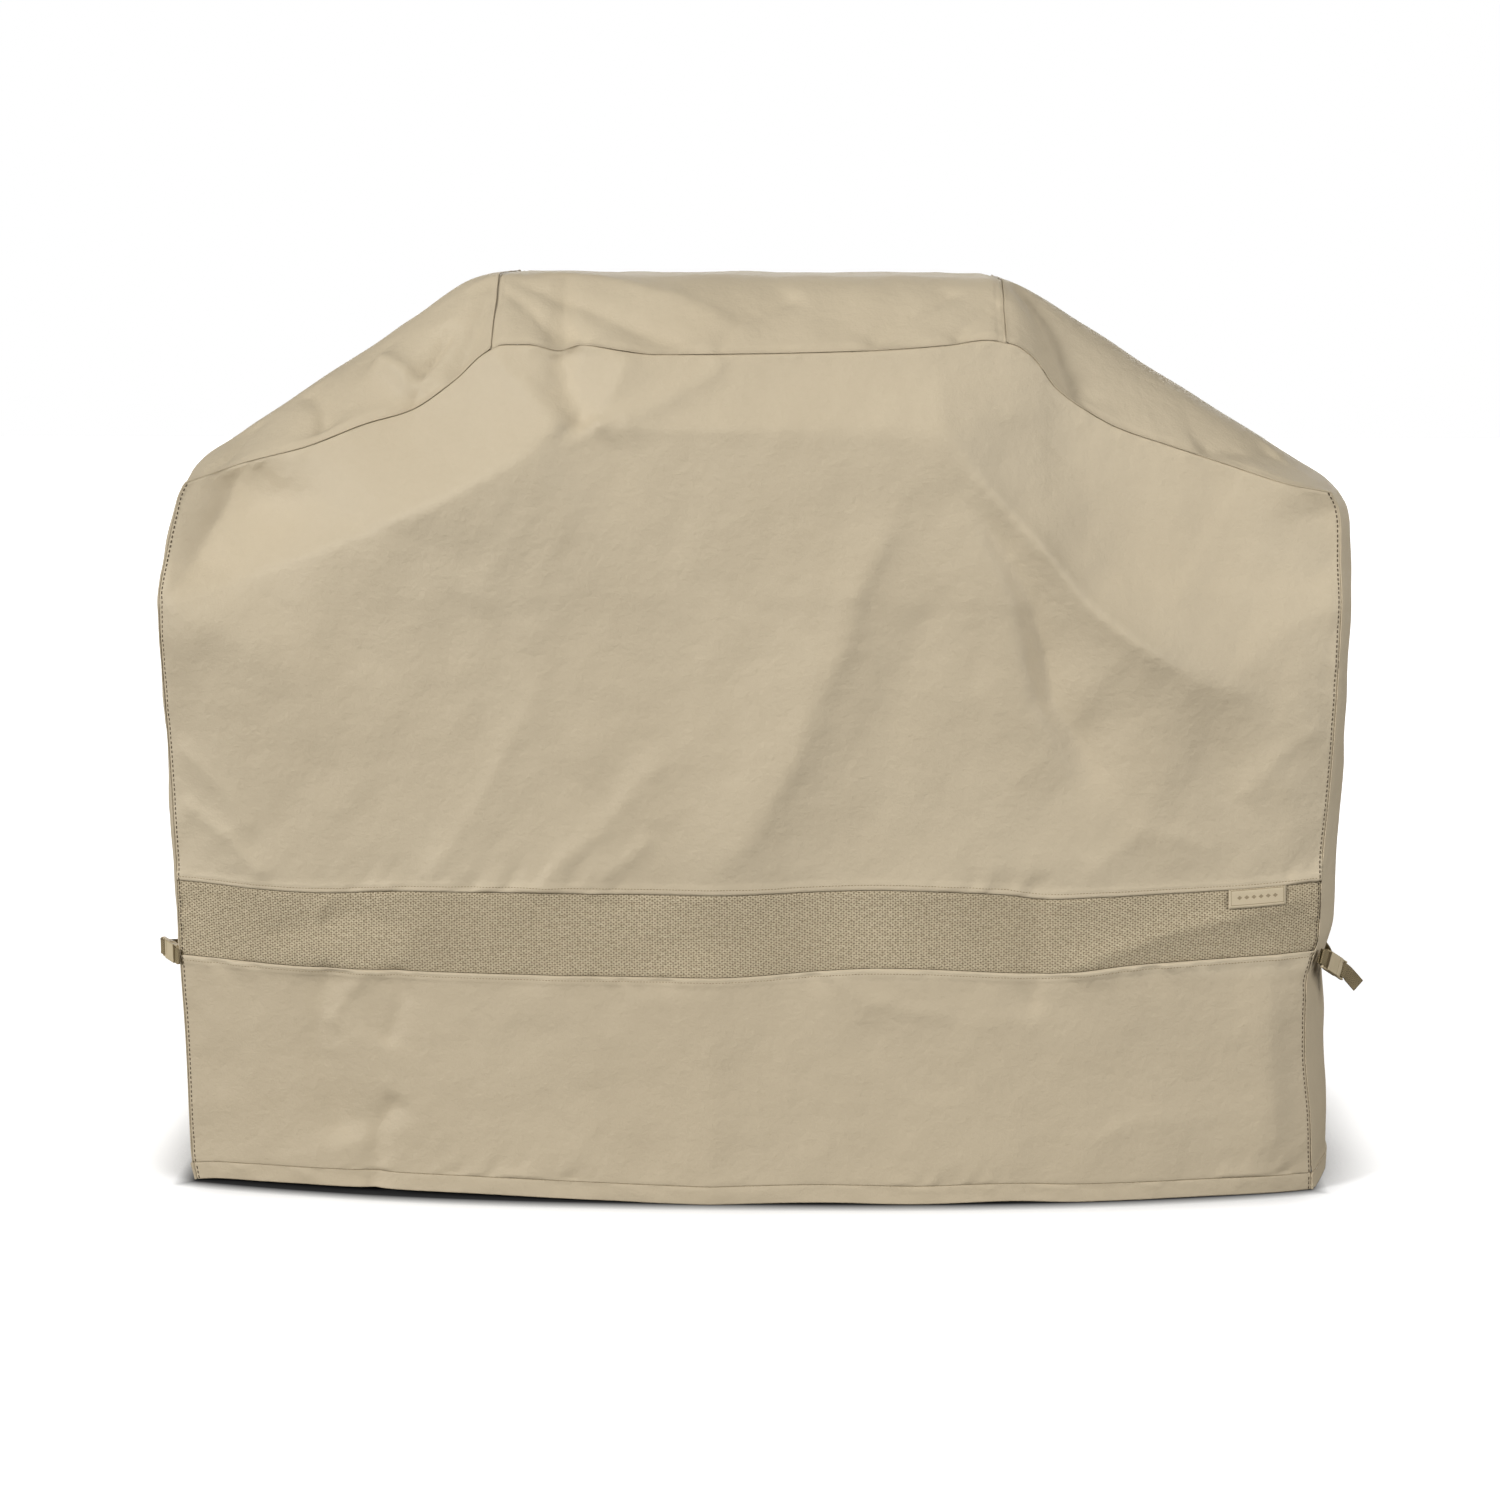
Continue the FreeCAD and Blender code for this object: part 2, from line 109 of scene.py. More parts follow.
# how far each cross seam strays from its level, seen from the front: (x, rise)
VENT_TOP_WAVE = [(-0.752, 0.006), (-0.566, -0.003), (-0.436, 0.002), (-0.070, 0.001), (0.173, 0.008),
                 (0.337, 0.002), (0.386, -0.004), (0.466, -0.001), (0.670, 0.008), (0.751, 0.014)]
VENT_BOTTOM_WAVE = [(-0.749, 0.005), (-0.555, -0.002), (-0.040, -0.006), (0.174, 0.006), (0.379, 0.000),
                    (0.525, 0.011), (0.738, 0.019)]
HEM_WAVE = [(-0.76, 0.001), (-0.71, 0.007), (-0.52, 0.009), (-0.38, 0.008), (-0.22, 0.004), (-0.05, 0.0005),
            (0.10, 0.003), (0.22, 0.001), (0.35, 0.004), (0.44, 0.001), (0.60, 0.002), (0.76, 0.0005)]

# ---- mesh spacing ----
COARSE = 0.0105              # of the cloth that is draped
FINE_STEPS = 2               # each coarse cell is cut into this many
STRIP_DEPTH_CELLS = 56       # coarse cells of the top strip from its front seam to its back one
WALL_WIDTH = 1.52            # of the front, for how many columns it gets
WALL_TOP = 1.03              # its mean height, for how many rows it gets
THICKNESS = 0.0011
HEM_THICKNESS = 0.0030       # the hem is turned twice

# ---- how the cloth is draped ----
DRAPE_FRAMES = 26
SLACK = 0.022                # how much longer the cloth is than its sewn outline
MIDDLE_SLACK = 0.22          # share of that length far from any seam
SEAM_REACH = 0.05            # how far from a seam the cloth is gathered
WALL_HOLD = 0.50             # how firmly the grill underneath holds the broad shape of a wall
STRIP_HOLD = 0.50            # and of the top and sides
SLACK_LOST_AT_SEAM = 0.9     # share of its slack that the cloth loses on a cross seam
VENT_SLACK = 0.25            # the stiff mesh's slack, as a share of the cloth's
WALL_GRAVITY = 0.05          # share of real gravity that bears on a wall's slack
WEIGHT_STEPS = 100           # how finely a vertex group tells one hold from another
DRAPE_SETTINGS = {"quality": 5, "mass": 0.15, "tension_stiffness": 25.0, "compression_stiffness": 25.0,
                  "shear_stiffness": 6.0, "bending_stiffness": 0.7, "tension_damping": 8.0,
                  "compression_damping": 8.0, "vertex_group_mass": "firm",
                  "vertex_group_shrink": "slack", "shrink_min": 0.0, "shrink_max": -SLACK}
ROUGH = 0.0012               # unevenness of the cloth before it settles
ROUGH_CELLS = 5.0            # and its size, in coarse cells

# ---- seams and stitches ----
LIP_HEIGHT = 0.0014          # how far a panel that is sewn over its neighbour stands out at its edge
LIP_WIDTH = 0.008            # and how far in from its edge
TOP_STITCH = 0.0065          # from that edge to the line of top stitches
STITCH_DENT = 0.0008         # how deep the top stitches pull the cloth in
HEM_DENT = 0.0005            # and those of a hem
UNDER_DROP = 0.0010          # how far a panel sinks where it goes under its neighbour
# distances of the close grid lines from a panel's edge, in coarse cells
EDGE_LINES = np.array([0.0, 0.0015, 0.004, TOP_STITCH, 0.009, 0.012]) / COARSE
STITCH_LINE = 3              # which of them the top stitches follow
SIDE_STITCH_LINE = 2         # and which the dark stitches of the side seams follow
GATHER_SLANT = -0.6          # how far a gather leans along its seam as it leaves it
GATHER_START = 0.004         # distance from the seam over which a gather rises
GATHER_BUNCH = 5             # gathers come in bunches this many waves long
SEAM_SHADE_WIDTH = 0.0008             # width of the painted shade line in a seam
# how dark the painted shade in a seam's groove is, by how the seam is sewn
SEAM_SHADE = {"over": 0.10, "under": 0.42, "hemmed": 0.12}
STITCHES = {"light": (0.0042, 0.0030, 0.0005), "dark": (0.0064, 0.0048, 0.0008)}   # pitch, length, radius
STITCH_SHAPE = []            # the faces of one stitch: a tip, two rings of four points and a tip
for k in range(4):
    n = (k + 1) % 4
    STITCH_SHAPE += [(1 + k, 1 + n, 0), (1 + n, 1 + k, 5 + k), (1 + n, 5 + k, 5 + n), (5 + n, 5 + k, 9)]

# ---- the label, the webbing and the buckles ----
LABEL_TUCK = 0.003           # how much of the label is inside the seam
LABEL_THICK = 0.0008
LABEL_LIFT = 0.0024          # how far it stands off the mesh
LABEL_GRID = (11, 25)        # its rows and columns of points
WEB_WIDTH = 0.020
WEB_THICK = 0.0014
WEB_PROFILE = np.array([-0.5, -0.485, -0.45, -0.3, -0.1, 0.1, 0.3, 0.45, 0.485, 0.5])
TAIL_HANGS = {"left": (-0.10, 0.98, -0.10), "right": (0.66, 0.05, -0.75)}   # which way each loose end goes
TAIL_LENGTH = {"left": 0.018, "right": 0.026}
RUN_RISE = {"left": 0.0, "right": 0.0038}    # of the long run's lower edge over its box's foot
WEB_LEAD = 0.0125            # from the side seam to the bar of the socket
BAR_RADIUS = 0.0018
LADDER_BARS = (0.049, 0.058)     # from the socket's bar to the two bars of the ladder lock
PRONG_PIVOT = 0.0356         # from the socket's bar to the prongs' roots
WEB_STOPS = (-0.175, -0.13, -0.07, 0.0, 0.08, 0.15, 0.21, 0.255, 0.282, 0.293)   # y along the side

# ---- the studio ----
CAMERA_PLACE = Vector((0.10, -4.33, 1.27))
CAMERA_AIM = -0.005          # x at which it looks in the plane y = 0
CAMERA_PITCH = 9.5           # degrees down
CAMERA_SENSOR = 36.0         # mm
CAMERA_LENS = 74.4           # mm
FLOOR_SIZE = 30.0
FOOT_HALF_WIDTH = 0.75       # half of the cover's width where it meets the floor
SHADOW_REACH = 0.10         # how near the cover the painted shadow starts to darken the floor
SHADOW_EDGE = 0.03          # and over what distance from its foot the painted shadow goes from black


# ---- small numeric tools ----
def curve(points, at):
    """A smooth line through (a, b) points: b at each a. It doesn't overshoot between points."""
    a = np.array([p[0] for p in points])
    b = np.array([p[1] for p in points])
    slope = np.diff(b) / np.diff(a)
    tangent = np.zeros(len(a))
    same = slope[1:] * slope[:-1] > 0
    tangent[1:-1][same] = 2 * slope[1:][same] * slope[:-1][same] / (slope[1:] + slope[:-1])[same]
    tangent[0], tangent[-1] = slope[0], slope[-1]
    at = np.clip(at, a[0], a[-1])
    k = np.clip(np.searchsorted(a, at) - 1, 0, len(a) - 2)
    run = a[k + 1] - a[k]
    t = (at - a[k]) / run
    t2, t3 = t * t, t * t * t
    return ((2 * t3 - 3 * t2 + 1) * b[k] + (t3 - 2 * t2 + t) * run * tangent[k]
            + (3 * t2 - 2 * t3) * b[k + 1] + (t3 - t2) * run * tangent[k + 1])


def column(points, index):
    """(first column, chosen column) of a table."""
    return [(p[0], p[index]) for p in points]


def smooth(t):
    """0 to 1 with level ends."""
    t = np.clip(t, 0.0, 1.0)
    return t * t * (3 - 2 * t)


def noise(a, b, seed):
    """Smooth noise from -1 to 1 on a unit lattice."""
    table = np.random.default_rng(seed).uniform(-1, 1, (64, 64))
    ia, ib = np.floor(a).astype(int), np.floor(b).astype(int)
    fa, fb = smooth(a - ia), smooth(b - ib)
    pick = lambda i, j: table[i % 64, j % 64]
    low = pick(ia, ib) * (1 - fa) + pick(ia + 1, ib) * fa
    high = pick(ia, ib + 1) * (1 - fa) + pick(ia + 1, ib + 1) * fa
    return low * (1 - fb) + high * fb


def along_path(x, z, path):
    """For points (x, z): signed distance from a path, positive on its left, and the share along it."""
    best = np.full(x.shape, 1e9)
    side = np.zeros(x.shape)
    share = np.zeros(x.shape)
    points = np.array(path, float)
    runs = np.linalg.norm(np.diff(points, axis=0), axis=1)
    done, total = 0.0, runs.sum()
    for (x0, z0), (x1, z1), run in zip(points, points[1:], runs):
        t = np.clip(((x - x0) * (x1 - x0) + (z - z0) * (z1 - z0)) / run ** 2, 0, 1)
        dx, dz = x - x0 - t * (x1 - x0), z - z0 - t * (z1 - z0)
        distance = np.hypot(dx, dz)
        turn = (x1 - x0) * dz - (z1 - z0) * dx
        closer = distance < best
        best = np.where(closer, distance, best)
        side = np.where(closer, np.sign(turn), side)
        share = np.where(closer, (done + t * run) / total, share)
        done += run
    return best * side, share


def fold(x, z, path, height, left_width, right_width, start=1.0, fade=0.15):
    """A ridge, or a valley if height is negative, along a path, sharpest on its line and fading away.

    left_width and right_width are how quickly it fades on each side. start is its size where the
    path begins, as a share of its size at the end, so a small one fans out from a point.
    """
    distance, share = along_path(x, z, path)
    size = start + (1 - start) * share
    t = distance / np.where(distance > 0, left_width, right_width) / size
    body = np.exp(FOLD_ROUND - np.sqrt(t * t + FOLD_ROUND ** 2))
    ends = smooth(share / fade) * smooth((1 - share) / fade)
    return height * size * body * ends


# ---- the front of the cover ----
# each fold: path of (x, z), height, width to its left and right going along the path, size at its
# start, and then the share of its length over which it fades if that isn't the usual one
FRONT_FOLDS = [
    # the near leg of the tent below the lid's right corner
    ([(0.240, 1.01), (0.190, 0.904), (0.139, 0.801), (0.124, 0.735), (0.088, 0.670), (0.062, 0.591),
      (0.014, 0.511), (-0.030, 0.440), (-0.100, 0.340)], 0.027, 0.065, 0.120, 0.25, 0.30),
    # the far edge of the tent, the valley beside it, and the ridge over that
    ([(0.256, 1.03), (0.266, 0.956), (0.306, 0.866), (0.339, 0.801), (0.350, 0.736), (0.368, 0.670),
      (0.400, 0.610), (0.460, 0.530)], 0.017, 0.036, 0.080, 0.6, 0.35),
    ([(0.258, 1.01), (0.279, 0.930), (0.331, 0.866), (0.364, 0.801), (0.381, 0.736), (0.394, 0.671),
      (0.445, 0.592), (0.520, 0.510)], -0.026, 0.060, 0.034, 0.50, 0.30),
    ([(0.245, 1.04), (0.324, 0.930), (0.383, 0.866), (0.435, 0.801), (0.520, 0.737), (0.600, 0.690),
      (0.700, 0.650)], 0.024, 0.060, 0.080, 0.60, 0.40),
    ([(0.250, 1.005), (0.324, 0.928), (0.385, 0.864), (0.437, 0.799), (0.505, 0.745), (0.590, 0.700)],
     0.0085, 0.012, 0.034, 0.6, 0.25),
    ([(0.262, 1.11), (0.262, 1.03), (0.300, 0.940)], 0.010, 0.100, 0.100, 1.0, 0.50),
    # the taut ridge from the lid's left corner to the side, and the cloth that leans back over it
    ([(-0.215, 1.040), (-0.300, 0.980), (-0.364, 0.941), (-0.488, 0.882), (-0.560, 0.853), (-0.639, 0.823),
      (-0.740, 0.790), (-0.840, 0.760)], 0.038, 0.240, 0.092, 0.50),
    ([(0.440, 0.830), (0.520, 0.765), (0.600, 0.722), (0.700, 0.696), (0.900, 0.680)],
     0.020, 0.150, 0.400, 0.8, 0.40),
    # the dip of the top seam near its left corner, and the wrinkles that run to it
    ([(-0.245, 1.128), (-0.238, 1.075), (-0.205, 1.015)], -0.020, 0.030, 0.022, 0.9),
    ([(-0.345, 1.120), (-0.285, 1.070), (-0.225, 1.012)], 0.009, 0.014, 0.022, 0.8),
    ([(-0.150, 1.116), (-0.170, 1.075), (-0.205, 1.015)], 0.010, 0.022, 0.020, 0.9),
    ([(-0.020, 1.112), (-0.070, 1.075), (-0.175, 1.020)], 0.007, 0.018, 0.020, 0.7),
    # hollow under the left shoulder, and a smaller one under the right
    ([(-0.655, 1.01), (-0.690, 0.91), (-0.718, 0.85), (-0.757, 0.780)], -0.032, 0.110, 0.034, 1.0, 0.35),
    ([(-0.560, 1.02), (-0.590, 0.93), (-0.660, 0.85), (-0.720, 0.80)], -0.018, 0.160, 0.080, 1.0, 0.50),
    ([(0.735, 0.965), (0.758, 0.89), (0.775, 0.78)], -0.020, 0.050, 0.055, 1.0, 0.35),
    # slanting slack on the right
    ([(0.765, 0.80), (0.69, 0.75), (0.60, 0.66)], 0.0035, 0.030, 0.030, 1.0, 0.40),
    ([(0.55, 0.72), (0.61, 0.60), (0.70, 0.46)], -0.007, 0.060, 0.050, 1.0, 0.50),
    ([(0.63, 0.465), (0.52, 0.50), (0.43, 0.43)], 0.0035, 0.024, 0.020, 1.0),
    ([(0.760, 0.64), (0.700, 0.60), (0.640, 0.53)], 0.004, 0.018, 0.018, 1.0),
    # faint slanting wrinkles low on the left
    ([(-0.26, 0.72), (-0.34, 0.55), (-0.43, 0.41)], 0.0050, 0.032, 0.026, 0.4),
    ([(-0.10, 0.61), (-0.19, 0.50), (-0.29, 0.41)], 0.0060, 0.028, 0.024, 0.4),
    ([(-0.12, 0.49), (-0.17, 0.45), (-0.22, 0.405)], 0.0050, 0.014, 0.012, 0.6),
    ([(-0.760, 0.61), (-0.70, 0.55), (-0.65, 0.48)], 0.0040, 0.014, 0.018, 1.0),
    ([(-0.760, 0.53), (-0.69, 0.48), (-0.63, 0.42)], 0.0055, 0.014, 0.018, 1.0),
    ([(-0.25, 1.01), (-0.29, 0.90), (-0.37, 0.78)], 0.0050, 0.050, 0.060, 0.3),
    # packing creases
    ([(-0.046, 0.35), (-0.050, -0.04)], 0.0065, 0.040, 0.070, 1.0),
    ([(0.02, 0.803), (0.40, 0.797)], 0.0018, 0.040, 0.012, 1.0),
    ([(-0.50, 0.800), (-0.02, 0.803)], 0.0012, 0.040, 0.014, 1.0),
    ([(0.43, 0.812), (0.80, 0.806)], 0.0030, 0.012, 0.040, 1.0),
    # slack in the skirt and the vent
    ([(-0.56, 0.32), (-0.57, 0.20), (-0.53, 0.06)], -0.0100, 0.034, 0.040, 1.0),
    ([(-0.47, 0.32), (-0.455, 0.27), (-0.48, 0.20)], -0.0055, 0.014, 0.022, 1.0),
    ([(-0.505, 0.30), (-0.535, 0.27), (-0.56, 0.22)], 0.0040, 0.012, 0.012, 1.0),
    ([(-0.46, 0.14), (-0.490, 0.09), (-0.500, -0.01)], -0.0080, 0.012, 0.018, 1.0),
    ([(-0.27, 0.31), (-0.22, 0.24), (-0.20, 0.15)], 0.0035, 0.024, 0.034, 1.0),
    ([(0.10, 0.31), (0.16, 0.27), (0.28, 0.25)], 0.0035, 0.016, 0.018, 0.7),
    ([(0.386, 0.45), (0.383, 0.36), (0.380, 0.24)], -0.0060, 0.010, 0.050, 1.0),
    ([(0.40, 0.305), (0.55, 0.36), (0.76, 0.410)], 0.0070, 0.016, 0.026, 1.0),
    ([(0.42, 0.07), (0.52, 0.11), (0.64, 0.10)], 0.0045, 0.024, 0.040, 1.0, 0.4),
    ([(0.690, 0.35), (0.690, 0.20), (0.710, -0.04)], 0.0110, 0.040, 0.080, 1.0, 0.3),
    ([(-0.552, 0.405), (-0.575, 0.36), (-0.552, 0.305)], 0.0035, 0.005, 0.010, 1.0),
    ([(-0.66, 0.34), (-0.52, 0.38), (-0.44, 0.36)], -0.0045, 0.020, 0.030, 1.0),
]


def wall_depth(x, z, facing):
    """How far out from the middle a wall's cloth stands at (x, z). facing is 1 at the front, -1 at the back.

    The back is the front turned round, except for its seams: it hangs flatter, in lower folds.
    """
    depth_share, fold_share = (1.0, 1.0) if facing > 0 else (BACK_DEPTH, BACK_FOLDS)
    half_width = np.where(x < 0, -x[:, :1], x[:, -1:])
    middle = curve(column(FRONT_LINE, 1), z)
    side = curve(column(FRONT_LINE, 2), z)
    depth = side + (middle * depth_share - side) * (1 - np.abs(x / half_width) ** BULGE_POWER)
    brow = curve(BROW, facing * x)
    top = curve(TOP_SEAM, x)
    share = np.clip((z - brow) / (top - brow), 0, 1)
    depth = depth - (depth - curve(SEAM_DEPTH, x)) * share
    for path, height, left, right, *rest in FRONT_FOLDS:
        turned = [(facing * px, pz) for px, pz in path]
        widths = (left, right) if facing > 0 else (right, left)
        depth = depth + fold_share * fold(x, z, turned, height, *widths, *rest)
    return depth


def mottle(x, z, seed):
    """Slight unevenness of loose cloth, longer up and to the right than across."""
    along, across = 0.45 * x + 0.89 * z, 0.89 * x - 0.45 * z
    return noise(along / 0.11, across / 0.045, seed) + 0.5 * noise(along / 0.05, across / 0.028, seed + 1)


def levels():
    """The heights of the rows up to the top of the vent, with a row on every seam."""
    rows = [0.0]
    for low, high in ((0.0, HEM_TOP), (HEM_TOP, VENT_BOTTOM), (VENT_BOTTOM, VENT_TOP)):
        count = max(1, round((high - low) / COARSE))
        rows += [low + (high - low) * (k + 1) / count for k in range(count)]
    return np.array(rows)


LOW_ROWS = levels()
HIGH_COUNT = round((WALL_TOP - VENT_TOP) / COARSE)
ROWS = len(LOW_ROWS) + HIGH_COUNT
COLUMNS = round(WALL_WIDTH / COARSE) + 1
HEM_ROW = int(np.argmin(abs(LOW_ROWS - HEM_TOP)))
VENT_LOW_ROW = int(np.argmin(abs(LOW_ROWS - VENT_BOTTOM)))
VENT_HIGH_ROW = len(LOW_ROWS) - 1


def wall_outline():
    """x and z of every point of a front or back wall, as rows by columns."""
    share = np.linspace(0, 1, COLUMNS)
    top_x = TOP_SEAM[0][0] + share * (TOP_SEAM[-1][0] - TOP_SEAM[0][0])
    top_z = curve(TOP_SEAM, top_x)
    x = np.zeros((ROWS, COLUMNS))
    z = np.zeros((ROWS, COLUMNS))
    for row in range(ROWS):
        if row <= VENT_HIGH_ROW:
            z[row] = LOW_ROWS[row]
        else:
            up = (row - VENT_HIGH_ROW) / HIGH_COUNT
            z[row] = VENT_TOP + up * (top_z - VENT_TOP)
        left = -curve(LEFT_SEAM, z[row, 0])
        right = curve(RIGHT_SEAM, z[row, -1])
        x[row] = left + share * (right - left)
    level = z.copy()
    for wave, centre, reach in ((VENT_TOP_WAVE, VENT_TOP, 0.14), (VENT_BOTTOM_WAVE, VENT_BOTTOM, 0.09),
                                (HEM_WAVE, 0.0, 0.12)):
        z += curve(wave, x) * (1 - smooth(abs(level - centre) / reach))
    return x, z


def front_wall():
    """The points of the front, rows by columns by 3."""
    x, z = wall_outline()
    depth = wall_depth(x, z, 1) + MOTTLE * mottle(x, z, 21) * smooth((z - VENT_TOP) / 0.04)
    return np.stack([x, -depth, z], -1)


def back_wall():
    """The points of the back, in the same layout."""
    x, z = wall_outline()
    return np.stack([x, wall_depth(x, z, -1), z], -1)


# folds of the top strip: path of (x, distance from the front seam), and the rest as above
STRIP_FOLDS = [
    ([(-0.335, 0.13), (-0.27, 0.05), (-0.19, 0.0)], 0.0128, 0.022, 0.030, 0.5),
    ([(-0.335, 0.15), (-0.20, 0.07), (-0.06, 0.01)], 0.0112, 0.020, 0.030, 0.5),
    ([(-0.30, 0.17), (-0.10, 0.11), (0.02, 0.02)], -0.0080, 0.020, 0.030, 0.6),
    ([(-0.05, 0.0), (-0.01, 0.06), (0.07, 0.12)], 0.0080, 0.016, 0.022, 0.6),
    ([(0.28, 0.12), (0.20, 0.06), (0.15, 0.0)], 0.0096, 0.024, 0.020, 0.6),
    ([(0.335, 0.09), (0.29, 0.04), (0.26, 0.0)], 0.0080, 0.018, 0.014, 0.6),
    ([(-0.50, 0.11), (-0.455, 0.06), (-0.425, 0.01)], -0.0240, 0.018, 0.014, 0.6),
    ([(-0.39, 0.10), (-0.43, 0.05), (-0.445, 0.0)], 0.0200, 0.014, 0.018, 0.6),
    ([(-0.60, 0.13), (-0.57, 0.07), (-0.56, 0.01)], 0.0140, 0.022, 0.014, 0.6),
    ([(-0.345, 0.16), (-0.36, 0.08), (-0.39, 0.0)], 0.0128, 0.020, 0.024, 0.7),
    ([(-0.66, 0.12), (-0.69, 0.05), (-0.73, 0.01)], 0.0080, 0.020, 0.020, 0.7),
    ([(0.35, 0.16), (0.40, 0.08), (0.43, 0.0)], 0.0144, 0.028, 0.018, 0.7),
    ([(0.70, 0.10), (0.66, 0.05), (0.58, 0.01)], 0.0080, 0.020, 0.020, 0.7),
]


# ---- the strip over the top and down both sides ----
def border(wall):
    """A wall's edge from the left hem, over the top, to the right hem."""
    return np.concatenate([wall[:, 0], wall[-1, 1:-1], wall[::-1, -1]])


STATIONS = 2 * ROWS + COLUMNS - 2
LEFT_RIDGE = int(np.argmin(abs(border(front_wall())[ROWS:-ROWS, 0] + RIDGE_X))) + ROWS
RIGHT_RIDGE = int(np.argmin(abs(border(front_wall())[ROWS:-ROWS, 0] - RIDGE_X))) + ROWS


def strip_wall(front, back):
    """The points of the strip, stations by depth by 3, between the two walls' edges."""
    near, far = border(front), border(back)
    crest = near.copy()
    x, z = near[:, 0], near[:, 2]
    sides = np.r_[0:ROWS, STATIONS - ROWS:STATIONS]
    bulge = np.where(x[sides] < 0, curve(LEFT_BULGE, z[sides]), curve(RIGHT_BULGE, z[sides]))
    crest[sides, 0] = x[sides] + np.sign(x[sides]) * bulge
    crest[sides, 2] -= SHOULDER_DROP * smooth((z[sides] - 0.84) / 0.10)
    tops = np.arange(ROWS, STATIONS - ROWS)
    widening = np.where(x[tops] < 0, CREST[0][0] / TOP_SEAM[0][0], CREST[-1][0] / TOP_SEAM[-1][0])
    outside = np.clip((np.abs(x[tops]) - RIDGE_X) / (SIDE_X - RIDGE_X), 0, 1)
    crest[tops, 0] = x[tops] * (1 + (widening - 1) * outside)
    crest[tops, 2] = curve(CREST, crest[tops, 0])
    share = np.linspace(0, 1, STRIP_DEPTH_CELLS + 1)
    flat = CREST_FLAT + (LEFT_FLAT - CREST_FLAT) * smooth((-0.70 - x) / 0.04)[:, None]
    rise = np.sin(np.pi / 2 * np.clip(np.minimum(share, 1 - share) / flat, 0, 1))
    edge = near[:, None] * (1 - share[:, None]) + far[:, None] * share[:, None]
    points = edge.copy()
    for axis in (0, 2):
        points[..., axis] += (crest[:, None, axis] - edge[..., axis]) * rise
    reach = lengths(points, 1)
    lift = np.zeros(reach.shape)
    for distance, mirror in ((reach, 1), (reach[:, -1:] - reach, -1)):
        for path, height, left, right, start in STRIP_FOLDS:
            route = [(mirror * px, pd) for px, pd in path]
            widths = (left, right) if mirror > 0 else (right, left)
            lift += fold(points[..., 0], distance, route, height, *widths, start)
    lift[sides_of(points)] = 0.0
    lift += 0.0012 * noise(points[..., 0] / 0.05 + points[..., 2] / 0.07, points[..., 1] / 0.05, 31)
    edge_hold = smooth(np.minimum(reach, reach[:, -1:] - reach) / 0.012)
    return points + normals_of(points) * (lift * edge_hold)[..., None]


def sides_of(points):
    """Where a strip's points are on the upright sides and not on the top."""
    top = (points[..., 2] > points[0, 0, 2] + UPRIGHT_TOP) & (np.abs(points[..., 0]) < SIDE_X)
    return ~top


# ---- draping ----
def drape(points, firm, slack, gravity):
    """Points of a grid after its cloth, a little too long for its outline, has settled under gravity.

    firm is how strongly each point is held in place, 1 for a seam that doesn't move, and slack is
    how much of the extra length each point gets, both from 0 to 1. gravity is a share of the real one.
    """
    rows, columns = points.shape[:2]
    mesh = bpy.data.meshes.new("draping")
    mesh.from_pydata(points.reshape(-1, 3).tolist(), [], grid_faces(rows, columns).tolist())
    cloth = bpy.data.objects.new("draping", mesh)
    bpy.context.scene.collection.objects.link(cloth)
    for name, weights in (("firm", firm), ("slack", slack)):
        group = cloth.vertex_groups.new(name=name)
        rounded = np.round(weights.ravel() * WEIGHT_STEPS).astype(int)
        for step in range(1, WEIGHT_STEPS + 1):
            chosen = np.flatnonzero(rounded == step)
            if len(chosen):
                group.add(chosen.tolist(), step / WEIGHT_STEPS, "REPLACE")
    modifier = cloth.modifiers.new("cloth", "CLOTH")
    settings = modifier.settings
    for key, value in DRAPE_SETTINGS.items():
        setattr(settings, key, value)
    settings.effector_weights.gravity = gravity
    modifier.collision_settings.use_collision = False
    modifier.point_cache.frame_start = 1
    modifier.point_cache.frame_end = DRAPE_FRAMES
    scene = bpy.context.scene
    for frame_number in range(1, DRAPE_FRAMES + 1):
        scene.frame_set(frame_number)
    settled = cloth.evaluated_get(bpy.context.evaluated_depsgraph_get()).data
    places = np.zeros(rows * columns * 3)
    settled.vertices.foreach_get("co", places)
    bpy.data.objects.remove(cloth)
    bpy.data.meshes.remove(mesh)
    scene.frame_set(1)
    return places.reshape(rows, columns, 3)


def roughened(points, firm, seed):
    """A grid made slightly uneven where it isn't held fast, so that its slack doesn't buckle evenly."""
    row, column = np.mgrid[0:points.shape[0], 0:points.shape[1]]
    rough = noise(column / ROUGH_CELLS, row / ROUGH_CELLS, seed) * ROUGH
    return points + normals_of(points) * (rough * (firm < 1))[..., None]


def beside_seam(row, seam):
    """The share of its slack that the cloth keeps on and beside a cross seam."""
    return 1 - SLACK_LOST_AT_SEAM * np.exp(-((row - seam) / 1.6) ** 2)


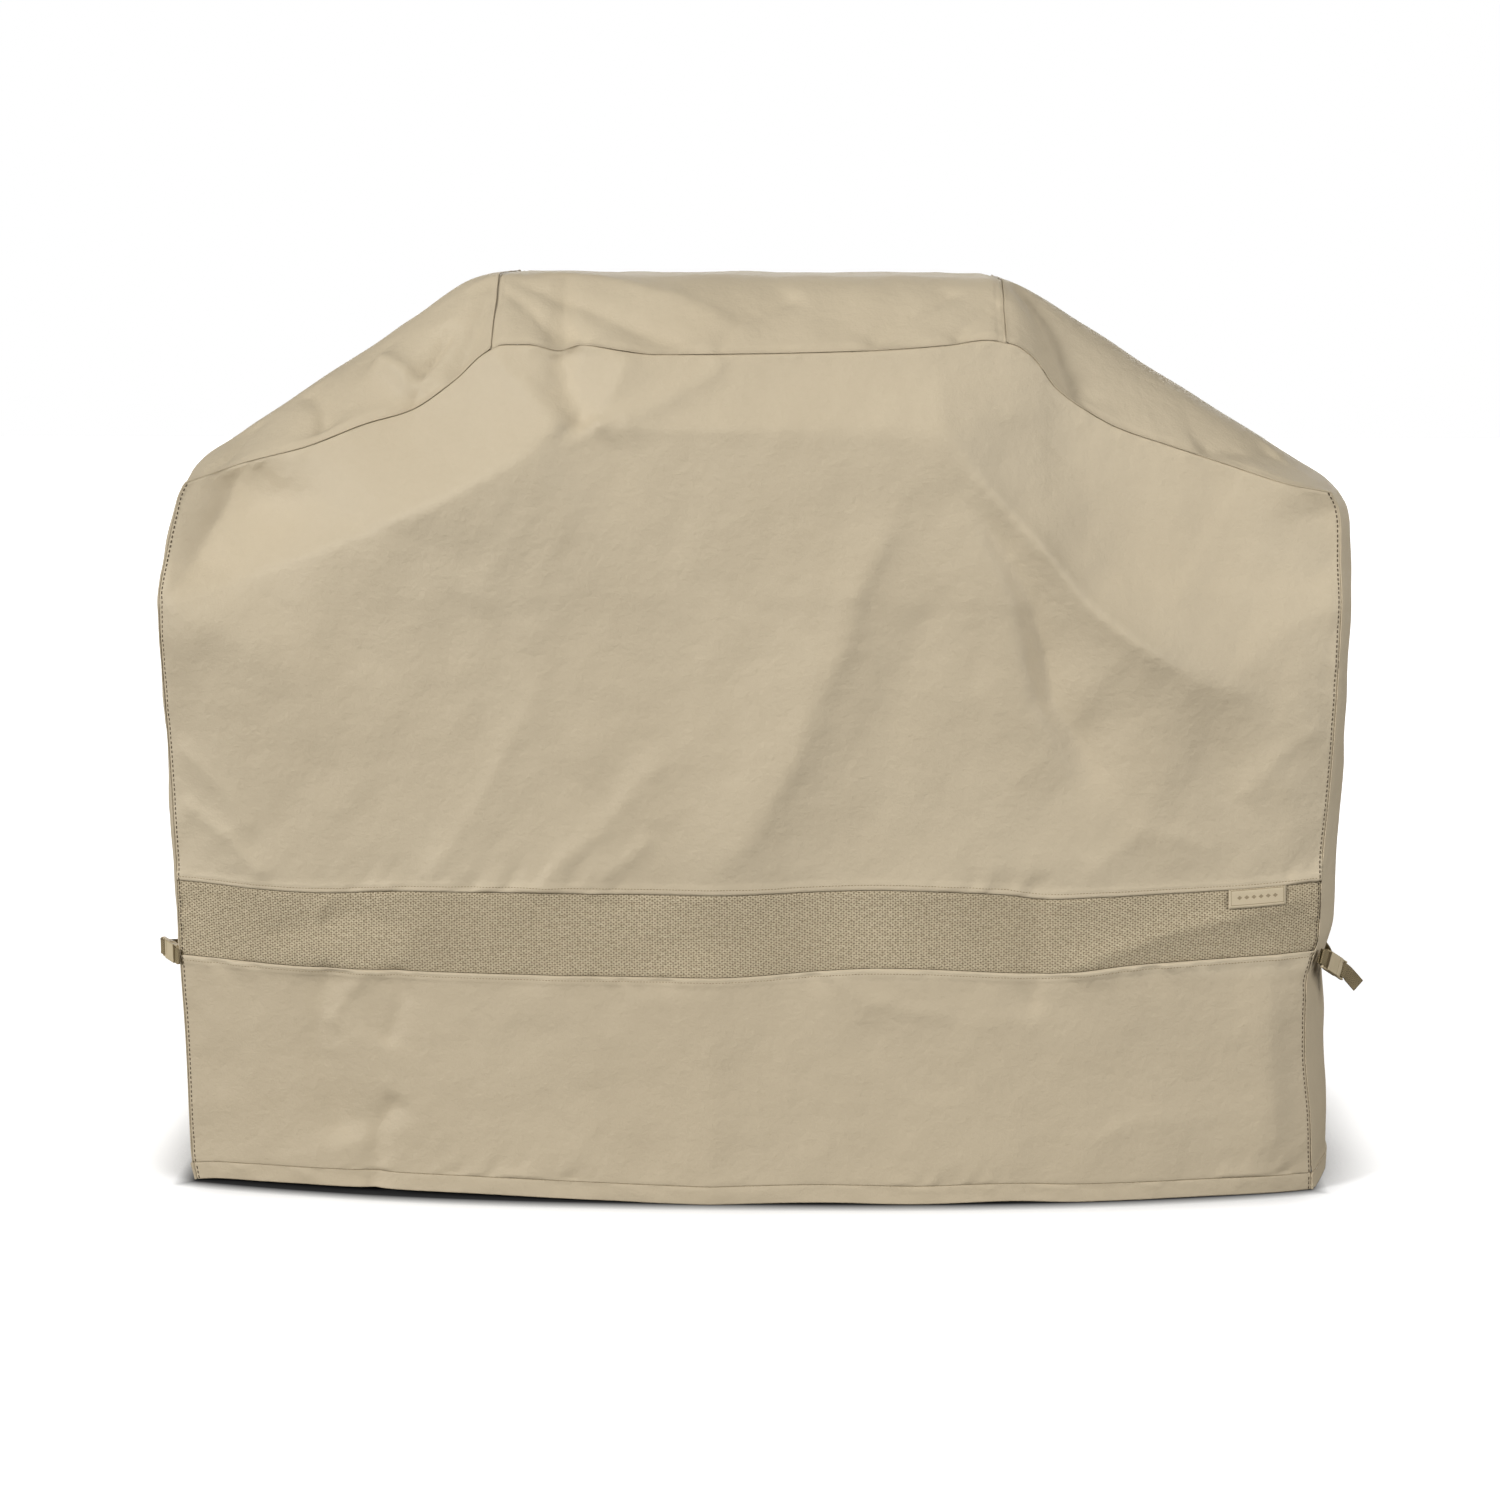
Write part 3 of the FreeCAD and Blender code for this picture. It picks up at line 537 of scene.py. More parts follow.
def drape_wall(points, seed):
    """A front or back wall, draped: its edges stay put, and it has little slack at its cross seams."""
    rows, columns = points.shape[:2]
    row, column = np.mgrid[0:rows, 0:columns]
    from_side = np.minimum(column, columns - 1 - column)
    firm = np.full((rows, columns), WALL_HOLD)
    from_top = rows - 1 - row
    reach = SEAM_REACH / COARSE
    near = np.exp(-(from_side / reach) ** 2) + np.exp(-(from_top / reach) ** 2)
    for seam in (HEM_ROW, VENT_LOW_ROW, VENT_HIGH_ROW):
        near = near + np.exp(-((row - seam) / reach) ** 2)
    slack = (MIDDLE_SLACK + (1 - MIDDLE_SLACK) * np.minimum(near, 1.0)) * smooth(from_side / 3.0)
    slack = slack * smooth(from_top / 3.0)
    for seam in (HEM_ROW, VENT_LOW_ROW, VENT_HIGH_ROW):
        slack = slack * beside_seam(row, seam)
    between = (row > VENT_LOW_ROW) & (row < VENT_HIGH_ROW)
    slack = np.where(between, VENT_SLACK * slack, slack)
    firm[:, 0] = firm[:, -1] = firm[-1] = firm[0] = 1.0
    return drape(roughened(points, firm, seed), firm, slack, WALL_GRAVITY)


def drape_strip(points, seed):
    """The strip over the top and sides, draped between the two walls' seams in the same way."""
    stations, columns = points.shape[:2]
    station, column = np.mgrid[0:stations, 0:columns]
    from_side = np.minimum(column, columns - 1 - column)
    firm = np.full((stations, columns), STRIP_HOLD)
    slack = smooth(from_side / 5.0)
    for seam in (HEM_ROW, LEFT_RIDGE, RIGHT_RIDGE, STATIONS - 1 - HEM_ROW):
        slack = slack * beside_seam(station, seam)
    firm[:, 0] = firm[:, -1] = firm[0] = firm[-1] = 1.0
    return drape(roughened(points, firm, seed), firm, slack, 0.0)


# ---- finer meshes ----
def spline_rows(points, at):
    """The grid resampled along its first axis at fractional rows, on a smooth curve."""
    last = len(points) - 1
    at = np.clip(at, 0, last)
    k = np.minimum(np.floor(at).astype(int), last - 1)
    t = (at - k).reshape((-1,) + (1,) * (points.ndim - 1))
    before = np.where((k > 0).reshape(t.shape), points[np.maximum(k - 1, 0)],
                      2 * points[k] - points[k + 1])
    after = np.where((k + 2 <= last).reshape(t.shape), points[np.minimum(k + 2, last)],
                     2 * points[k + 1] - points[k])
    here, ahead = points[k], points[k + 1]
    return 0.5 * (2 * here + (ahead - before) * t + (2 * before - 5 * here + 4 * ahead - after) * t ** 2
                  + (3 * here - before - 3 * ahead + after) * t ** 3)


def fine_lines(first, last):
    """Fractional rows from first to last: even ones, and close ones beside both ends."""
    even = np.arange(first * FINE_STEPS, last * FINE_STEPS + 1) / FINE_STEPS
    close = np.concatenate([first + EDGE_LINES, last - EDGE_LINES])
    kept = even[(even > first + EDGE_LINES[-1] + 0.1) & (even < last - EDGE_LINES[-1] - 0.1)]
    return np.unique(np.round(np.concatenate([kept, close]), 6))


def normals_of(points):
    """Unit normals of a grid, from its rows cross its columns."""
    down = np.gradient(points, axis=0)
    across = np.gradient(points, axis=1)
    normal = np.cross(across, down)
    return normal / np.maximum(np.linalg.norm(normal, axis=-1, keepdims=True), 1e-9)


def lengths(points, axis):
    """Distance along the grid's lines from their start, at every point."""
    steps = np.linalg.norm(np.diff(points, axis=axis), axis=-1)
    start = np.zeros_like(np.take(steps, [0], axis=axis))
    return np.concatenate([start, np.cumsum(steps, axis=axis)], axis=axis)


def closed_sheet(points, out, thickness, flip=False):
    """Both layers of a grid of cloth, and the faces that close it all round."""
    rows, columns = points.shape[:2]
    count = rows * columns
    layers = np.concatenate([points.reshape(-1, 3), (points - out * thickness).reshape(-1, 3)])
    top = grid_faces(rows, columns, flip)
    index = np.arange(count).reshape(rows, columns)
    ring = np.concatenate([index[0, :-1], index[:-1, -1], index[-1, :0:-1], index[:0:-1, 0]])
    ahead = np.roll(ring, -1)
    rim = np.stack([ahead, ring, ring + count, ahead + count], -1)
    rim = rim[:, ::-1] if flip else rim
    return layers, np.concatenate([top, top[:, ::-1] + count, rim])


def both_layers(values):
    """A grid's values, listed once for each of a closed sheet's layers."""
    return np.concatenate([values.reshape(-1, values.shape[-1])] * 2)


def add_mesh(name, points, faces, uv=None, attributes=()):
    """A mesh object from arrays. uv is per point, in metres of cloth."""
    mesh = bpy.data.meshes.new(name)
    mesh.from_pydata(points.reshape(-1, 3).tolist(), [], faces.tolist())
    mesh.polygons.foreach_set("use_smooth", [True] * len(mesh.polygons))
    if uv is not None:
        layer = mesh.uv_layers.new(name="cloth")
        corners = np.zeros(len(mesh.loops), int)
        mesh.loops.foreach_get("vertex_index", corners)
        layer.data.foreach_set("uv", uv.reshape(-1, 2)[corners].astype(np.float32).ravel())
    for key, values in attributes:
        attribute = mesh.attributes.new(key, "FLOAT", "POINT")
        attribute.data.foreach_set("value", values.astype(np.float32).ravel())
    mesh.update()
    piece = bpy.data.objects.new(name, mesh)
    bpy.context.scene.collection.objects.link(piece)
    return piece


def grid_faces(rows, columns, flip=False):
    """Quads of a grid of points."""
    first = (np.arange(rows - 1)[:, None] * columns + np.arange(columns - 1)).ravel()
    quads = np.stack([first, first + 1, first + columns + 1, first + columns], -1)
    return quads[:, ::-1] if flip else quads


def seam_step(distance, sewn):
    """How far a panel stands out near a seam, by how it is sewn there."""
    if sewn == "over":
        lip = LIP_HEIGHT * smooth(distance / 0.0015) * (1 - smooth((distance - LIP_WIDTH) / 0.006))
        return lip - STITCH_DENT * np.exp(-((distance - TOP_STITCH) / 0.0012) ** 2)
    if sewn == "hemmed":
        return -HEM_DENT * np.exp(-(distance / 0.0020) ** 2)
    return -UNDER_DROP * (1 - smooth(distance / 0.005))


def pucker(along, distance, seed, height, reach, wave):
    """Short gathers that run away from a seam."""
    place = (along + GATHER_SLANT * distance) / wave
    ripple = noise(place, distance / (reach * 1.5), seed)
    ripple = ripple + 0.3 * noise(place * 1.7, distance / reach, seed + 1)
    strength = smooth(0.5 + noise(along / (wave * GATHER_BUNCH), distance * 0, seed + 2))
    fading = np.exp(-(distance / reach) ** 1.3)
    return height * ripple * strength * fading * smooth(distance / GATHER_START)


def panel(name, coarse, row_span, column_span, node, slot_name, seams, threads, flip=False):
    """One sewn panel, cut from a draped wall, with its seam edges and gathers.

    seams gives for each edge, of low_row, high_row, low_column and high_column: how it is sewn, which
    is over its neighbour, under it or hemmed, the gathers' height, reach and wave, or None at a free
    edge. The lines of its stitches are added to threads.
    """
    rows = fine_lines(*row_span)
    columns = fine_lines(*column_span)
    points = spline_rows(coarse, rows)
    points = spline_rows(points.transpose(1, 0, 2), columns).transpose(1, 0, 2)
    out = normals_of(points) * (-1 if flip else 1)
    down, across = lengths(points, 0), lengths(points, 1)
    from_edge = {"low_row": down, "high_row": down[-1:] - down,
                 "low_column": across, "high_column": across[:, -1:] - across}
    offset = np.zeros(points.shape[:2])
    painted_seam_shade = np.zeros(points.shape[:2])
    for k, (edge, about) in enumerate(seams.items()):
        if about is None:
            continue
        sewn, height, reach, wave = about
        distance = from_edge[edge]
        along = across if "row" in edge else down
        offset += seam_step(distance, sewn)
        offset += pucker(along, distance, 11 * k + len(name), height, reach, wave)
        # painted shade: a darker colour along the seam's groove, where shade falls
        painted_seam_shade = np.maximum(painted_seam_shade, SEAM_SHADE[sewn] * np.exp(-(distance / SEAM_SHADE_WIDTH) ** 2))
    points = points + out * offset[..., None]
    lines = {"low_row": np.s_[STITCH_LINE], "high_row": np.s_[-1 - STITCH_LINE],
             "low_column": np.s_[:, STITCH_LINE], "high_column": np.s_[:, -1 - STITCH_LINE]}
    side_lines = {"low_column": np.s_[:, SIDE_STITCH_LINE], "high_column": np.s_[:, -1 - SIDE_STITCH_LINE]}
    for edge, about in seams.items():
        if about is not None and about[0] == "over":
            threads["light"].append((points[lines[edge]], out[lines[edge]]))
        if about is not None and about[0] == "hemmed" and edge == "high_row":
            threads["light"].append((points[-1], out[-1]))
        if name.startswith(("front", "back")) and edge in side_lines:
            line = side_lines[edge]
            threads["dark"].append((points[line], out[line]))
    uv = np.stack([across, down], -1)
    thickness = HEM_THICKNESS if "hem" in name else THICKNESS
    layers, faces = closed_sheet(points, out, thickness, flip)
    piece = add_mesh(name, layers, faces, both_layers(uv), [("painted_seam_shade", both_layers(painted_seam_shade[..., None]))])
    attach(piece, "root")
    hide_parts(node)
    return piece


def along_line(run, values, at):
    """Three-part values given at the distances of run, read at other distances."""
    return np.stack([np.interp(at, run, values[:, k]) for k in range(3)], -1)


def stitches(name, lines, size, material):
    """Short threads along lines of (points, outward directions), of one (pitch, length, radius)."""
    pitch, length, radius = size
    places, faces = [], []
    for points, out in lines:
        steps = np.linalg.norm(np.diff(points, axis=0), axis=1)
        run = np.concatenate([[0.0], np.cumsum(steps)])
        at = (np.arange(int(run[-1] / pitch)) + 0.5) * pitch
        centre, normal = along_line(run, points, at), along_line(run, out, at)
        ahead = along_line(run, points, at + 0.001) - along_line(run, points, at - 0.001)
        ahead /= np.linalg.norm(ahead, axis=1, keepdims=True)
        side = np.cross(ahead, normal) * radius
        up = normal * radius
        tips = ahead * length / 2
        rings = [centre + share * tips + r for share in (-0.65, 0.65) for r in (side, up, -side, -up)]
        block = np.stack([centre - tips - 0.5 * up] + rings + [centre + tips - 0.5 * up], 1)
        first = sum(len(earlier) for earlier in places) + block.shape[1] * np.arange(len(at))
        faces.append((first[:, None, None] + np.array(STITCH_SHAPE)).reshape(-1, 3))
        places.append(block.reshape(-1, 3))
    piece = add_mesh(name, np.concatenate(places), np.concatenate(faces))
    piece.data.materials.append(material)
    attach(piece, "root")
    return piece


# ---- the label, the webbing and the buckles ----
def woven_label(front, material):
    """A blank label hanging from the seam over the vent, a little off the mesh."""
    low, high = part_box("woven_label")
    columns = np.linspace(low.x, high.x, LABEL_GRID[1])
    drops = np.linspace(-LABEL_TUCK, high.z - low.z - LABEL_TUCK, LABEL_GRID[0])
    seam, below = front[VENT_HIGH_ROW], front[VENT_HIGH_ROW - 3]
    points = np.zeros((len(drops), len(columns), 3))
    ends = columns[[0, -1]]
    for row, drop in enumerate(drops):
        share = drop / (VENT_TOP - below[0, 2])
        for axis in range(3):
            top = np.interp(columns, ends, np.interp(ends, seam[:, 0], seam[:, axis]))
            lower = np.interp(columns, below[:, 0], below[:, axis])
            points[row, :, axis] = top + (lower - top) * (share if axis == 1 else 0)
        points[row, :, 2] -= drop
        points[row, :, 1] -= 0.0002 + LABEL_LIFT * smooth((drop + LABEL_TUCK) / 0.006)
    points = points[::-1]
    out = normals_of(points)
    layers, faces = closed_sheet(points, out, LABEL_THICK)
    uv = np.stack([np.broadcast_to(columns - low.x, points.shape[:2]),
                   np.broadcast_to(drops[::-1, None], points.shape[:2])], -1)
    piece = add_mesh("label_cloth", layers, faces, both_layers(uv))
    piece.data.materials.append(material)
    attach(piece, "root")
    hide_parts("woven_label")
    return [(points[-2], out[-2])]


def ribbon(name, centre, across, material):
    """A flat woven band along a line of points. across gives its width's direction at each."""
    centre, across = np.array(centre), np.array(across)
    steps = np.linalg.norm(np.diff(centre, axis=0), axis=1)
    run = np.concatenate([[0.0], np.cumsum(steps)])
    at = np.linspace(0, run[-1], max(8, round(run[-1] / 0.002)))
    fine = spline_rows(np.stack([centre, across], 1), np.interp(at, run, np.arange(len(run))))
    centre, across = fine[:, 0], fine[:, 1]
    across /= np.linalg.norm(across, axis=1, keepdims=True)
    offsets = WEB_PROFILE * WEB_WIDTH
    points = centre[:, None] + across[:, None] * offsets[:, None]
    out = normals_of(points)
    crown = WEB_THICK * 0.35 * (1 - (np.abs(offsets) / offsets[-1]) ** 10)
    points = points + out * crown[:, None]
    layers, faces = closed_sheet(points, out, WEB_THICK)
    uv = np.stack([np.broadcast_to(offsets, points.shape[:2]),
                   np.broadcast_to(at[:, None], points.shape[:2])], -1)
    piece = add_mesh(name, layers, faces, both_layers(uv))
    piece.data.materials.append(material)
    return piece


def strap_frame(side):
    """A buckle's own directions, and the middle of its socket's bar, from its joints."""
    joints = {joint["name"]: joint for joint in frame["joints"]}
    along = np.array(joints[side + "_buckle_release"]["axis"])
    out = np.array(joints[side + "_upper_prong_squeeze"]["axis"])
    pivots = [np.array(joints[side + name + "_prong_squeeze"]["pos_m"]) for name in ("_upper", "_lower")]
    origin = (pivots[0] + pivots[1]) / 2 - along * PRONG_PIVOT
    return origin, along, np.cross(out, along), out


def side_surface(strip, side, height):
    """The cloth of one side at one height, from the front seam to the back one."""
    half = strip[:ROWS] if side == "left" else strip[:-ROWS - 1:-1]
    row = int(np.argmin(abs(half[:, STRIP_DEPTH_CELLS // 2, 2] - height)))
    return half[row]


def strap(side, strip, web):
    """The webbing of one cinch strap: its sewn tab, its loose tail and its long run to the back."""
    origin, along, across, out = strap_frame(side)
    sign = -1.0 if side == "left" else 1.0
    place = lambda u, n: origin + along * u + out * n
    loop = BAR_RADIUS + WEB_THICK
    turn = [place(loop * math.sin(a), loop * math.cos(a)) for a in np.linspace(0.15, math.pi - 0.15, 9)]
    path = [place(-WEB_LEAD, 0.0020), place(-0.008, 0.0028), *turn,
            place(-0.008, -0.0028), place(-WEB_LEAD, -0.0020)]
    tab = ribbon(side + "_tab_web", path, [across * -sign] * len(path), web)
    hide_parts(side + "_front_web")
    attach(tab, "root")
    # the tail comes up over the first bar of the ladder, over the second and hangs free
    end = place(LADDER_BARS[1], BAR_RADIUS + 0.0012)
    path = [place(LADDER_BARS[0] + 0.002, 0.0005), place(LADDER_BARS[0] + 0.005, 0.0026), end,
            end + along * 0.0035]
    widths = [across * -sign] * len(path)
    hangs = np.array(TAIL_HANGS[side])
    for distance in np.linspace(0.25, 1.0, 4) * TAIL_LENGTH[side]:
        path.append(path[3] + hangs * distance)
        widths.append((across - hangs * (across @ hangs) / (hangs @ hangs)) * -sign)
    tail = ribbon(side + "_tail_web", path, widths, web)
    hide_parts(side + "_strap_tail")
    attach(tail, side + "_plug")
    # the long run goes under the ladder and back along the side to the rear seam
    low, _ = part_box(side + "_rear_web")
    height = low.z + WEB_WIDTH / 2 + RUN_RISE[side]
    surface = side_surface(strip, side, height)
    path = [place(LADDER_BARS[0] + 0.003, -0.0006), place(LADDER_BARS[1] - 0.002, -0.0032)]
    widths = [across * -sign] * 2
    for y in WEB_STOPS:
        x = np.interp(y, surface[:, 1], surface[:, 0])
        proud = 0.0030 + 0.004 * smooth((-0.10 - y) / 0.08)
        path.append(np.array([x + sign * proud, y, height]))
        widths.append(np.array([0.0, 0.0, 1.0]))
    run = ribbon(side + "_run_web", path, widths, web)
    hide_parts(side + "_rear_web")
    tuple(place(LADDER_BARS[1], 0))
    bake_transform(run)


# ---- materials ----
class Value:
    """A number inside a node material. Arithmetic with it adds math nodes."""

    def __init__(self, kit, socket):
        self.kit = kit
        self.socket = socket

    def __add__(self, other):
        return self.kit.math("ADD", self, other)

    def __sub__(self, other):
        return self.kit.math("SUBTRACT", self, other)

    def __rsub__(self, other):
        return self.kit.math("SUBTRACT", other, self)

    def __mul__(self, other):
        return self.kit.math("MULTIPLY", self, other)

    def __pow__(self, other):
        return self.kit.math("POWER", self, other)

    def __lt__(self, other):
        return self.kit.math("LESS_THAN", self, other)

    def __abs__(self):
        return self.kit.math("ABSOLUTE", self)

    def clamp(self, low, high):
        return self.kit.math("MINIMUM", self.kit.math("MAXIMUM", self, low), high)


class Nodes:
    """Short calls for building a node material."""

    def __init__(self, name):
        self.material = bpy.data.materials.new(name)
        self.material.use_nodes = True
        self.tree = self.material.node_tree
        self.shader = self.tree.nodes["Principled BSDF"]

    def add(self, kind, **values):
        node = self.tree.nodes.new(kind)
        for key, value in values.items():
            setattr(node, key, value)
        return node

    def fill(self, socket, value):
        """Give an input a number, a colour, or the result of other nodes."""
        if isinstance(value, (int, float)):
            socket.default_value = value
        elif isinstance(value, tuple):
            socket.default_value = (*value, 1.0)
        else:
            self.tree.links.new(getattr(value, "socket", value), socket)

    def set(self, **values):
        """Fill the shader's inputs, named with underscores for spaces."""
        for key, value in values.items():
            self.fill(self.shader.inputs[key.replace("_", " ")], value)

    def place(self):
        """Where a point of the surface is, in metres."""
        return self.add("ShaderNodeTexCoord").outputs["Object"]

    def split(self, vector):
        node = self.add("ShaderNodeSeparateXYZ")
        self.fill(node.inputs[0], vector)
        return [Value(self, part) for part in node.outputs]

    def math(self, operation, first, second=0.0):
        node = self.add("ShaderNodeMath", operation=operation)
        self.fill(node.inputs[0], first)
        self.fill(node.inputs[1], second)
        return Value(self, node.outputs[0])

    def noise(self, vector, scale, detail=2.0, roughness=0.5):
        node = self.add("ShaderNodeTexNoise")
        node.inputs["Scale"].default_value = scale
        node.inputs["Detail"].default_value = detail
        node.inputs["Roughness"].default_value = roughness
        self.fill(node.inputs["Vector"], vector)
        return Value(self, node.outputs["Fac"])

    def ramp(self, factor, stops):
        node = self.add("ShaderNodeValToRGB")
        elements = node.color_ramp.elements
        while len(elements) < len(stops):
            elements.new(0.5)
        for element, (place, colour) in zip(elements, stops):
            element.position = place
            element.color = (*colour, 1.0)
        self.fill(node.inputs[0], factor)
        return node.outputs[0]

    def mix(self, factor, first, second):
        node = self.add("ShaderNodeMix", data_type="RGBA")
        for socket, value in ((node.inputs[0], factor), (node.inputs[6], first), (node.inputs[7], second)):
            self.fill(socket, value)
        return node.outputs[2]

    def with_seam_shade(self, colour, dark):
        """A colour darkened by painted shade along the groove of a seam."""
        seam = Value(self, self.add("ShaderNodeAttribute", attribute_name="painted_seam_shade").outputs["Fac"])
        return self.mix(seam * 0.75, colour, dark)

    def bump(self, height, strength, distance, before=None):
        node = self.add("ShaderNodeBump")
        node.inputs["Strength"].default_value = strength
        node.inputs["Distance"].default_value = distance
        self.fill(node.inputs["Height"], height)
        if before is not None:
            self.fill(node.inputs["Normal"], before)
        return node.outputs[0]


def linear(red, green, blue):
    """A screen colour from 0 to 255 as a shader's colour."""
    return tuple(((c / 255) / 12.92 if c <= 10 else ((c / 255 + 0.055) / 1.055) ** 2.4)
                 for c in (red, green, blue))


CLOTH_COLOUR = linear(195, 181, 155)
CLOTH_DARK = linear(177, 162, 136)
CLOTH_LIGHT = linear(207, 194, 169)
MESH_THREAD = linear(208, 193, 164)
MESH_COLOUR = linear(182, 167, 139)
MESH_GAP = linear(132, 118, 93)
THREAD_COLOURS = {"light": (linear(124, 107, 78), linear(160, 143, 112)),
                  "dark": (linear(52, 40, 24), linear(92, 76, 52))}


def weave_height(kit, pitch_u, pitch_v):
    """A plain weave, threads over and under in turn: the cloth's coordinates, its threads, its height."""
    uv = kit.add("ShaderNodeUVMap", uv_map="cloth").outputs[0]
    u, v, _ = kit.split(uv)
    u = u * (math.pi / pitch_u)
    v = v * (math.pi / pitch_v)
    crown = (abs(kit.math("SINE", u)) + abs(kit.math("SINE", v))) * 0.5
    turn = kit.math("COSINE", u) * kit.math("COSINE", v)
    return uv, crown, crown + turn * 0.35


def cloth_material():
    kit = Nodes("coated_polyester")
    _, crown, weave = weave_height(kit, 0.0011, 0.0011)
    space = kit.place()
    broad = kit.noise(space, 2.2, 4.0, 0.55)
    fine = kit.noise(space, 95.0)
    colour = kit.ramp(broad, [(0.30, CLOTH_DARK), (0.52, CLOTH_COLOUR), (0.75, CLOTH_LIGHT)])
    colour = kit.mix(0.35, CLOTH_COLOUR, colour)
    colour = kit.mix(fine * 0.18, colour, CLOTH_DARK)
    colour = kit.mix((1.0 - crown) * 0.30, colour, CLOTH_DARK)
    # painted shade: the skirt under the vent is a little darker, standing in for less light reaching low on
    # the cover
    painted_low_shade = ((VENT_BOTTOM - kit.split(space)[2]) * (1 / 0.03)).clamp(0.0, 0.45)
    colour = kit.mix(painted_low_shade, colour, CLOTH_DARK)
    wrinkles = kit.bump(kit.noise(space, 24.0, 5.0, 0.62), 0.42, 0.008)
    # painted shade: the seams' grooves are darkened towards this brown
    kit.set(Base_Color=kit.with_seam_shade(colour, linear(104, 86, 60)), Roughness=broad * 0.16 + 0.50,
            Normal=kit.bump(weave, 0.35, 0.0004, wrinkles), Specular_IOR_Level=0.30,
            Sheen_Weight=0.04, Sheen_Tint=CLOTH_LIGHT)
    return kit.material


def mesh_material():
    kit = Nodes("vent_mesh_weave")
    uv, _, weave = weave_height(kit, 0.0034, 0.0024)
    broad = kit.noise(kit.place(), 5.0, 3.0)
    uneven = kit.noise(uv, 210.0, 3.0, 0.7)
    level = weave + (uneven - 0.5) * 1.6
    colour = kit.ramp(level, [(0.28, MESH_GAP), (0.60, MESH_COLOUR), (0.95, MESH_THREAD)])
    colour = kit.mix(broad * 0.50, colour, linear(138, 124, 98))
    # painted shade: the mesh's seam grooves are darkened towards this brown
    kit.set(Base_Color=kit.with_seam_shade(colour, linear(90, 74, 52)), Roughness=uneven * 0.2 + 0.62,
            Normal=kit.bump(level, 0.8, 0.0011), Specular_IOR_Level=0.25,
            Sheen_Weight=0.04, Sheen_Tint=MESH_THREAD)
    return kit.material


def thread_material(name, low, high):
    kit = Nodes(name)
    twist = kit.noise(kit.place(), 900.0, 1.0)
    kit.set(Base_Color=kit.ramp(twist, [(0.3, low), (0.7, high)]), Roughness=0.6,
            Normal=kit.bump(twist, 0.4, 0.0003))
    return kit.material


def webbing_material():
    kit = Nodes("polyester_webbing")
    _, _, weave = weave_height(kit, 0.0016, 0.0022)
    patch = kit.noise(kit.place(), 160.0, 3.0)
    level = weave + (patch - 0.5) * 0.3
    stops = [(0.25, linear(92, 79, 54)), (0.6, linear(134, 118, 86)), (0.95, linear(160, 144, 110))]
    kit.set(Base_Color=kit.ramp(level, stops), Roughness=patch * 0.2 + 0.5,
            Normal=kit.bump(level, 0.9, 0.0009), Specular_IOR_Level=0.35)
    return kit.material


def plastic_material():
    kit = Nodes("moulded_buckle")
    space = kit.place()
    grain = kit.noise(space, 1400.0)
    tone = kit.noise(space, 60.0, 3.0)
    colour = kit.ramp(tone, [(0.35, linear(172, 155, 121)), (0.65, linear(188, 171, 138))])
    edge = Value(kit, kit.add("ShaderNodeNewGeometry").outputs["Pointiness"])
    # convex edges are a little lighter
    lighter_edges = ((edge - 0.52) * 6.0).clamp(0.0, 0.5)
    kit.set(Base_Color=kit.mix(lighter_edges, colour, linear(212, 198, 168)), Roughness=tone * 0.18 + 0.32,
            Normal=kit.bump(grain, 0.15, 0.0002))
    return kit.material


def label_material():
    """A woven label with a thin border and a row of plain lozenges."""
    kit = Nodes("label_weave")
    uv, crown, weave = weave_height(kit, 0.0007, 0.0005)
    u, v, _ = kit.split(uv)
    low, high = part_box("woven_label")
    width, height = high.x - low.x, high.z - low.z
    beside = abs(u - width / 2)
    over = abs(v - (height / 2 - LABEL_TUCK))
    past_edge = kit.math("MAXIMUM", beside - width / 2, over - (height / 2 - 0.001))
    border = abs(past_edge + 0.0030) < 0.0004
    lozenge = abs(kit.math("FRACT", u * (1 / 0.0095)) - 0.5) + over * (1 / 0.0075)
    motif = (lozenge < 0.36) * (past_edge < -0.008)
    ground = kit.ramp(crown, [(0.2, linear(172, 156, 126)), (0.9, linear(198, 184, 156))])
    colour = kit.mix(kit.math("MAXIMUM", border, motif) * 0.75, ground, linear(120, 102, 72))
    kit.set(Base_Color=colour, Roughness=crown * 0.2 + 0.45, Normal=kit.bump(weave, 0.4, 0.0003))
    return kit.material


# ---- the scene ----
def direction(turn, rise):
    """The direction at an angle from straight in front towards +X and an angle up, in radians."""
    return Vector((math.sin(turn) * math.cos(rise), -math.cos(turn) * math.cos(rise), math.sin(rise)))


def add_turned(thing, toward, axis):
    """Put a camera's or a light's data in the scene, with its own axis turned one way."""
    placed = bpy.data.objects.new(thing.name, thing)
    bpy.context.scene.collection.objects.link(placed)
    placed.rotation_mode = "QUATERNION"
    placed.rotation_quaternion = toward.to_track_quat(axis, "Y")
    return placed


def add_camera():
    data = bpy.data.cameras.new("camera")
    data.sensor_width = CAMERA_SENSOR
    data.lens = CAMERA_LENS
    turn = math.atan2(CAMERA_AIM - CAMERA_PLACE.x, -CAMERA_PLACE.y)
    pitch = math.radians(CAMERA_PITCH)
    ahead = Vector((math.sin(turn) * math.cos(pitch), math.cos(turn) * math.cos(pitch), -math.sin(pitch)))
    camera = add_turned(data, ahead, "-Z")
    camera.location = CAMERA_PLACE
    bpy.context.scene.camera = camera


def add_sun(name, azimuth, elevation, spread, strength):
    """A large distant soft light. azimuth turns it from straight in front towards +X, in degrees."""
    data = bpy.data.lights.new(name, "SUN")
    data.angle = math.radians(spread)
    data.energy = strength
    add_turned(data, direction(math.radians(azimuth), math.radians(elevation)), "Z")


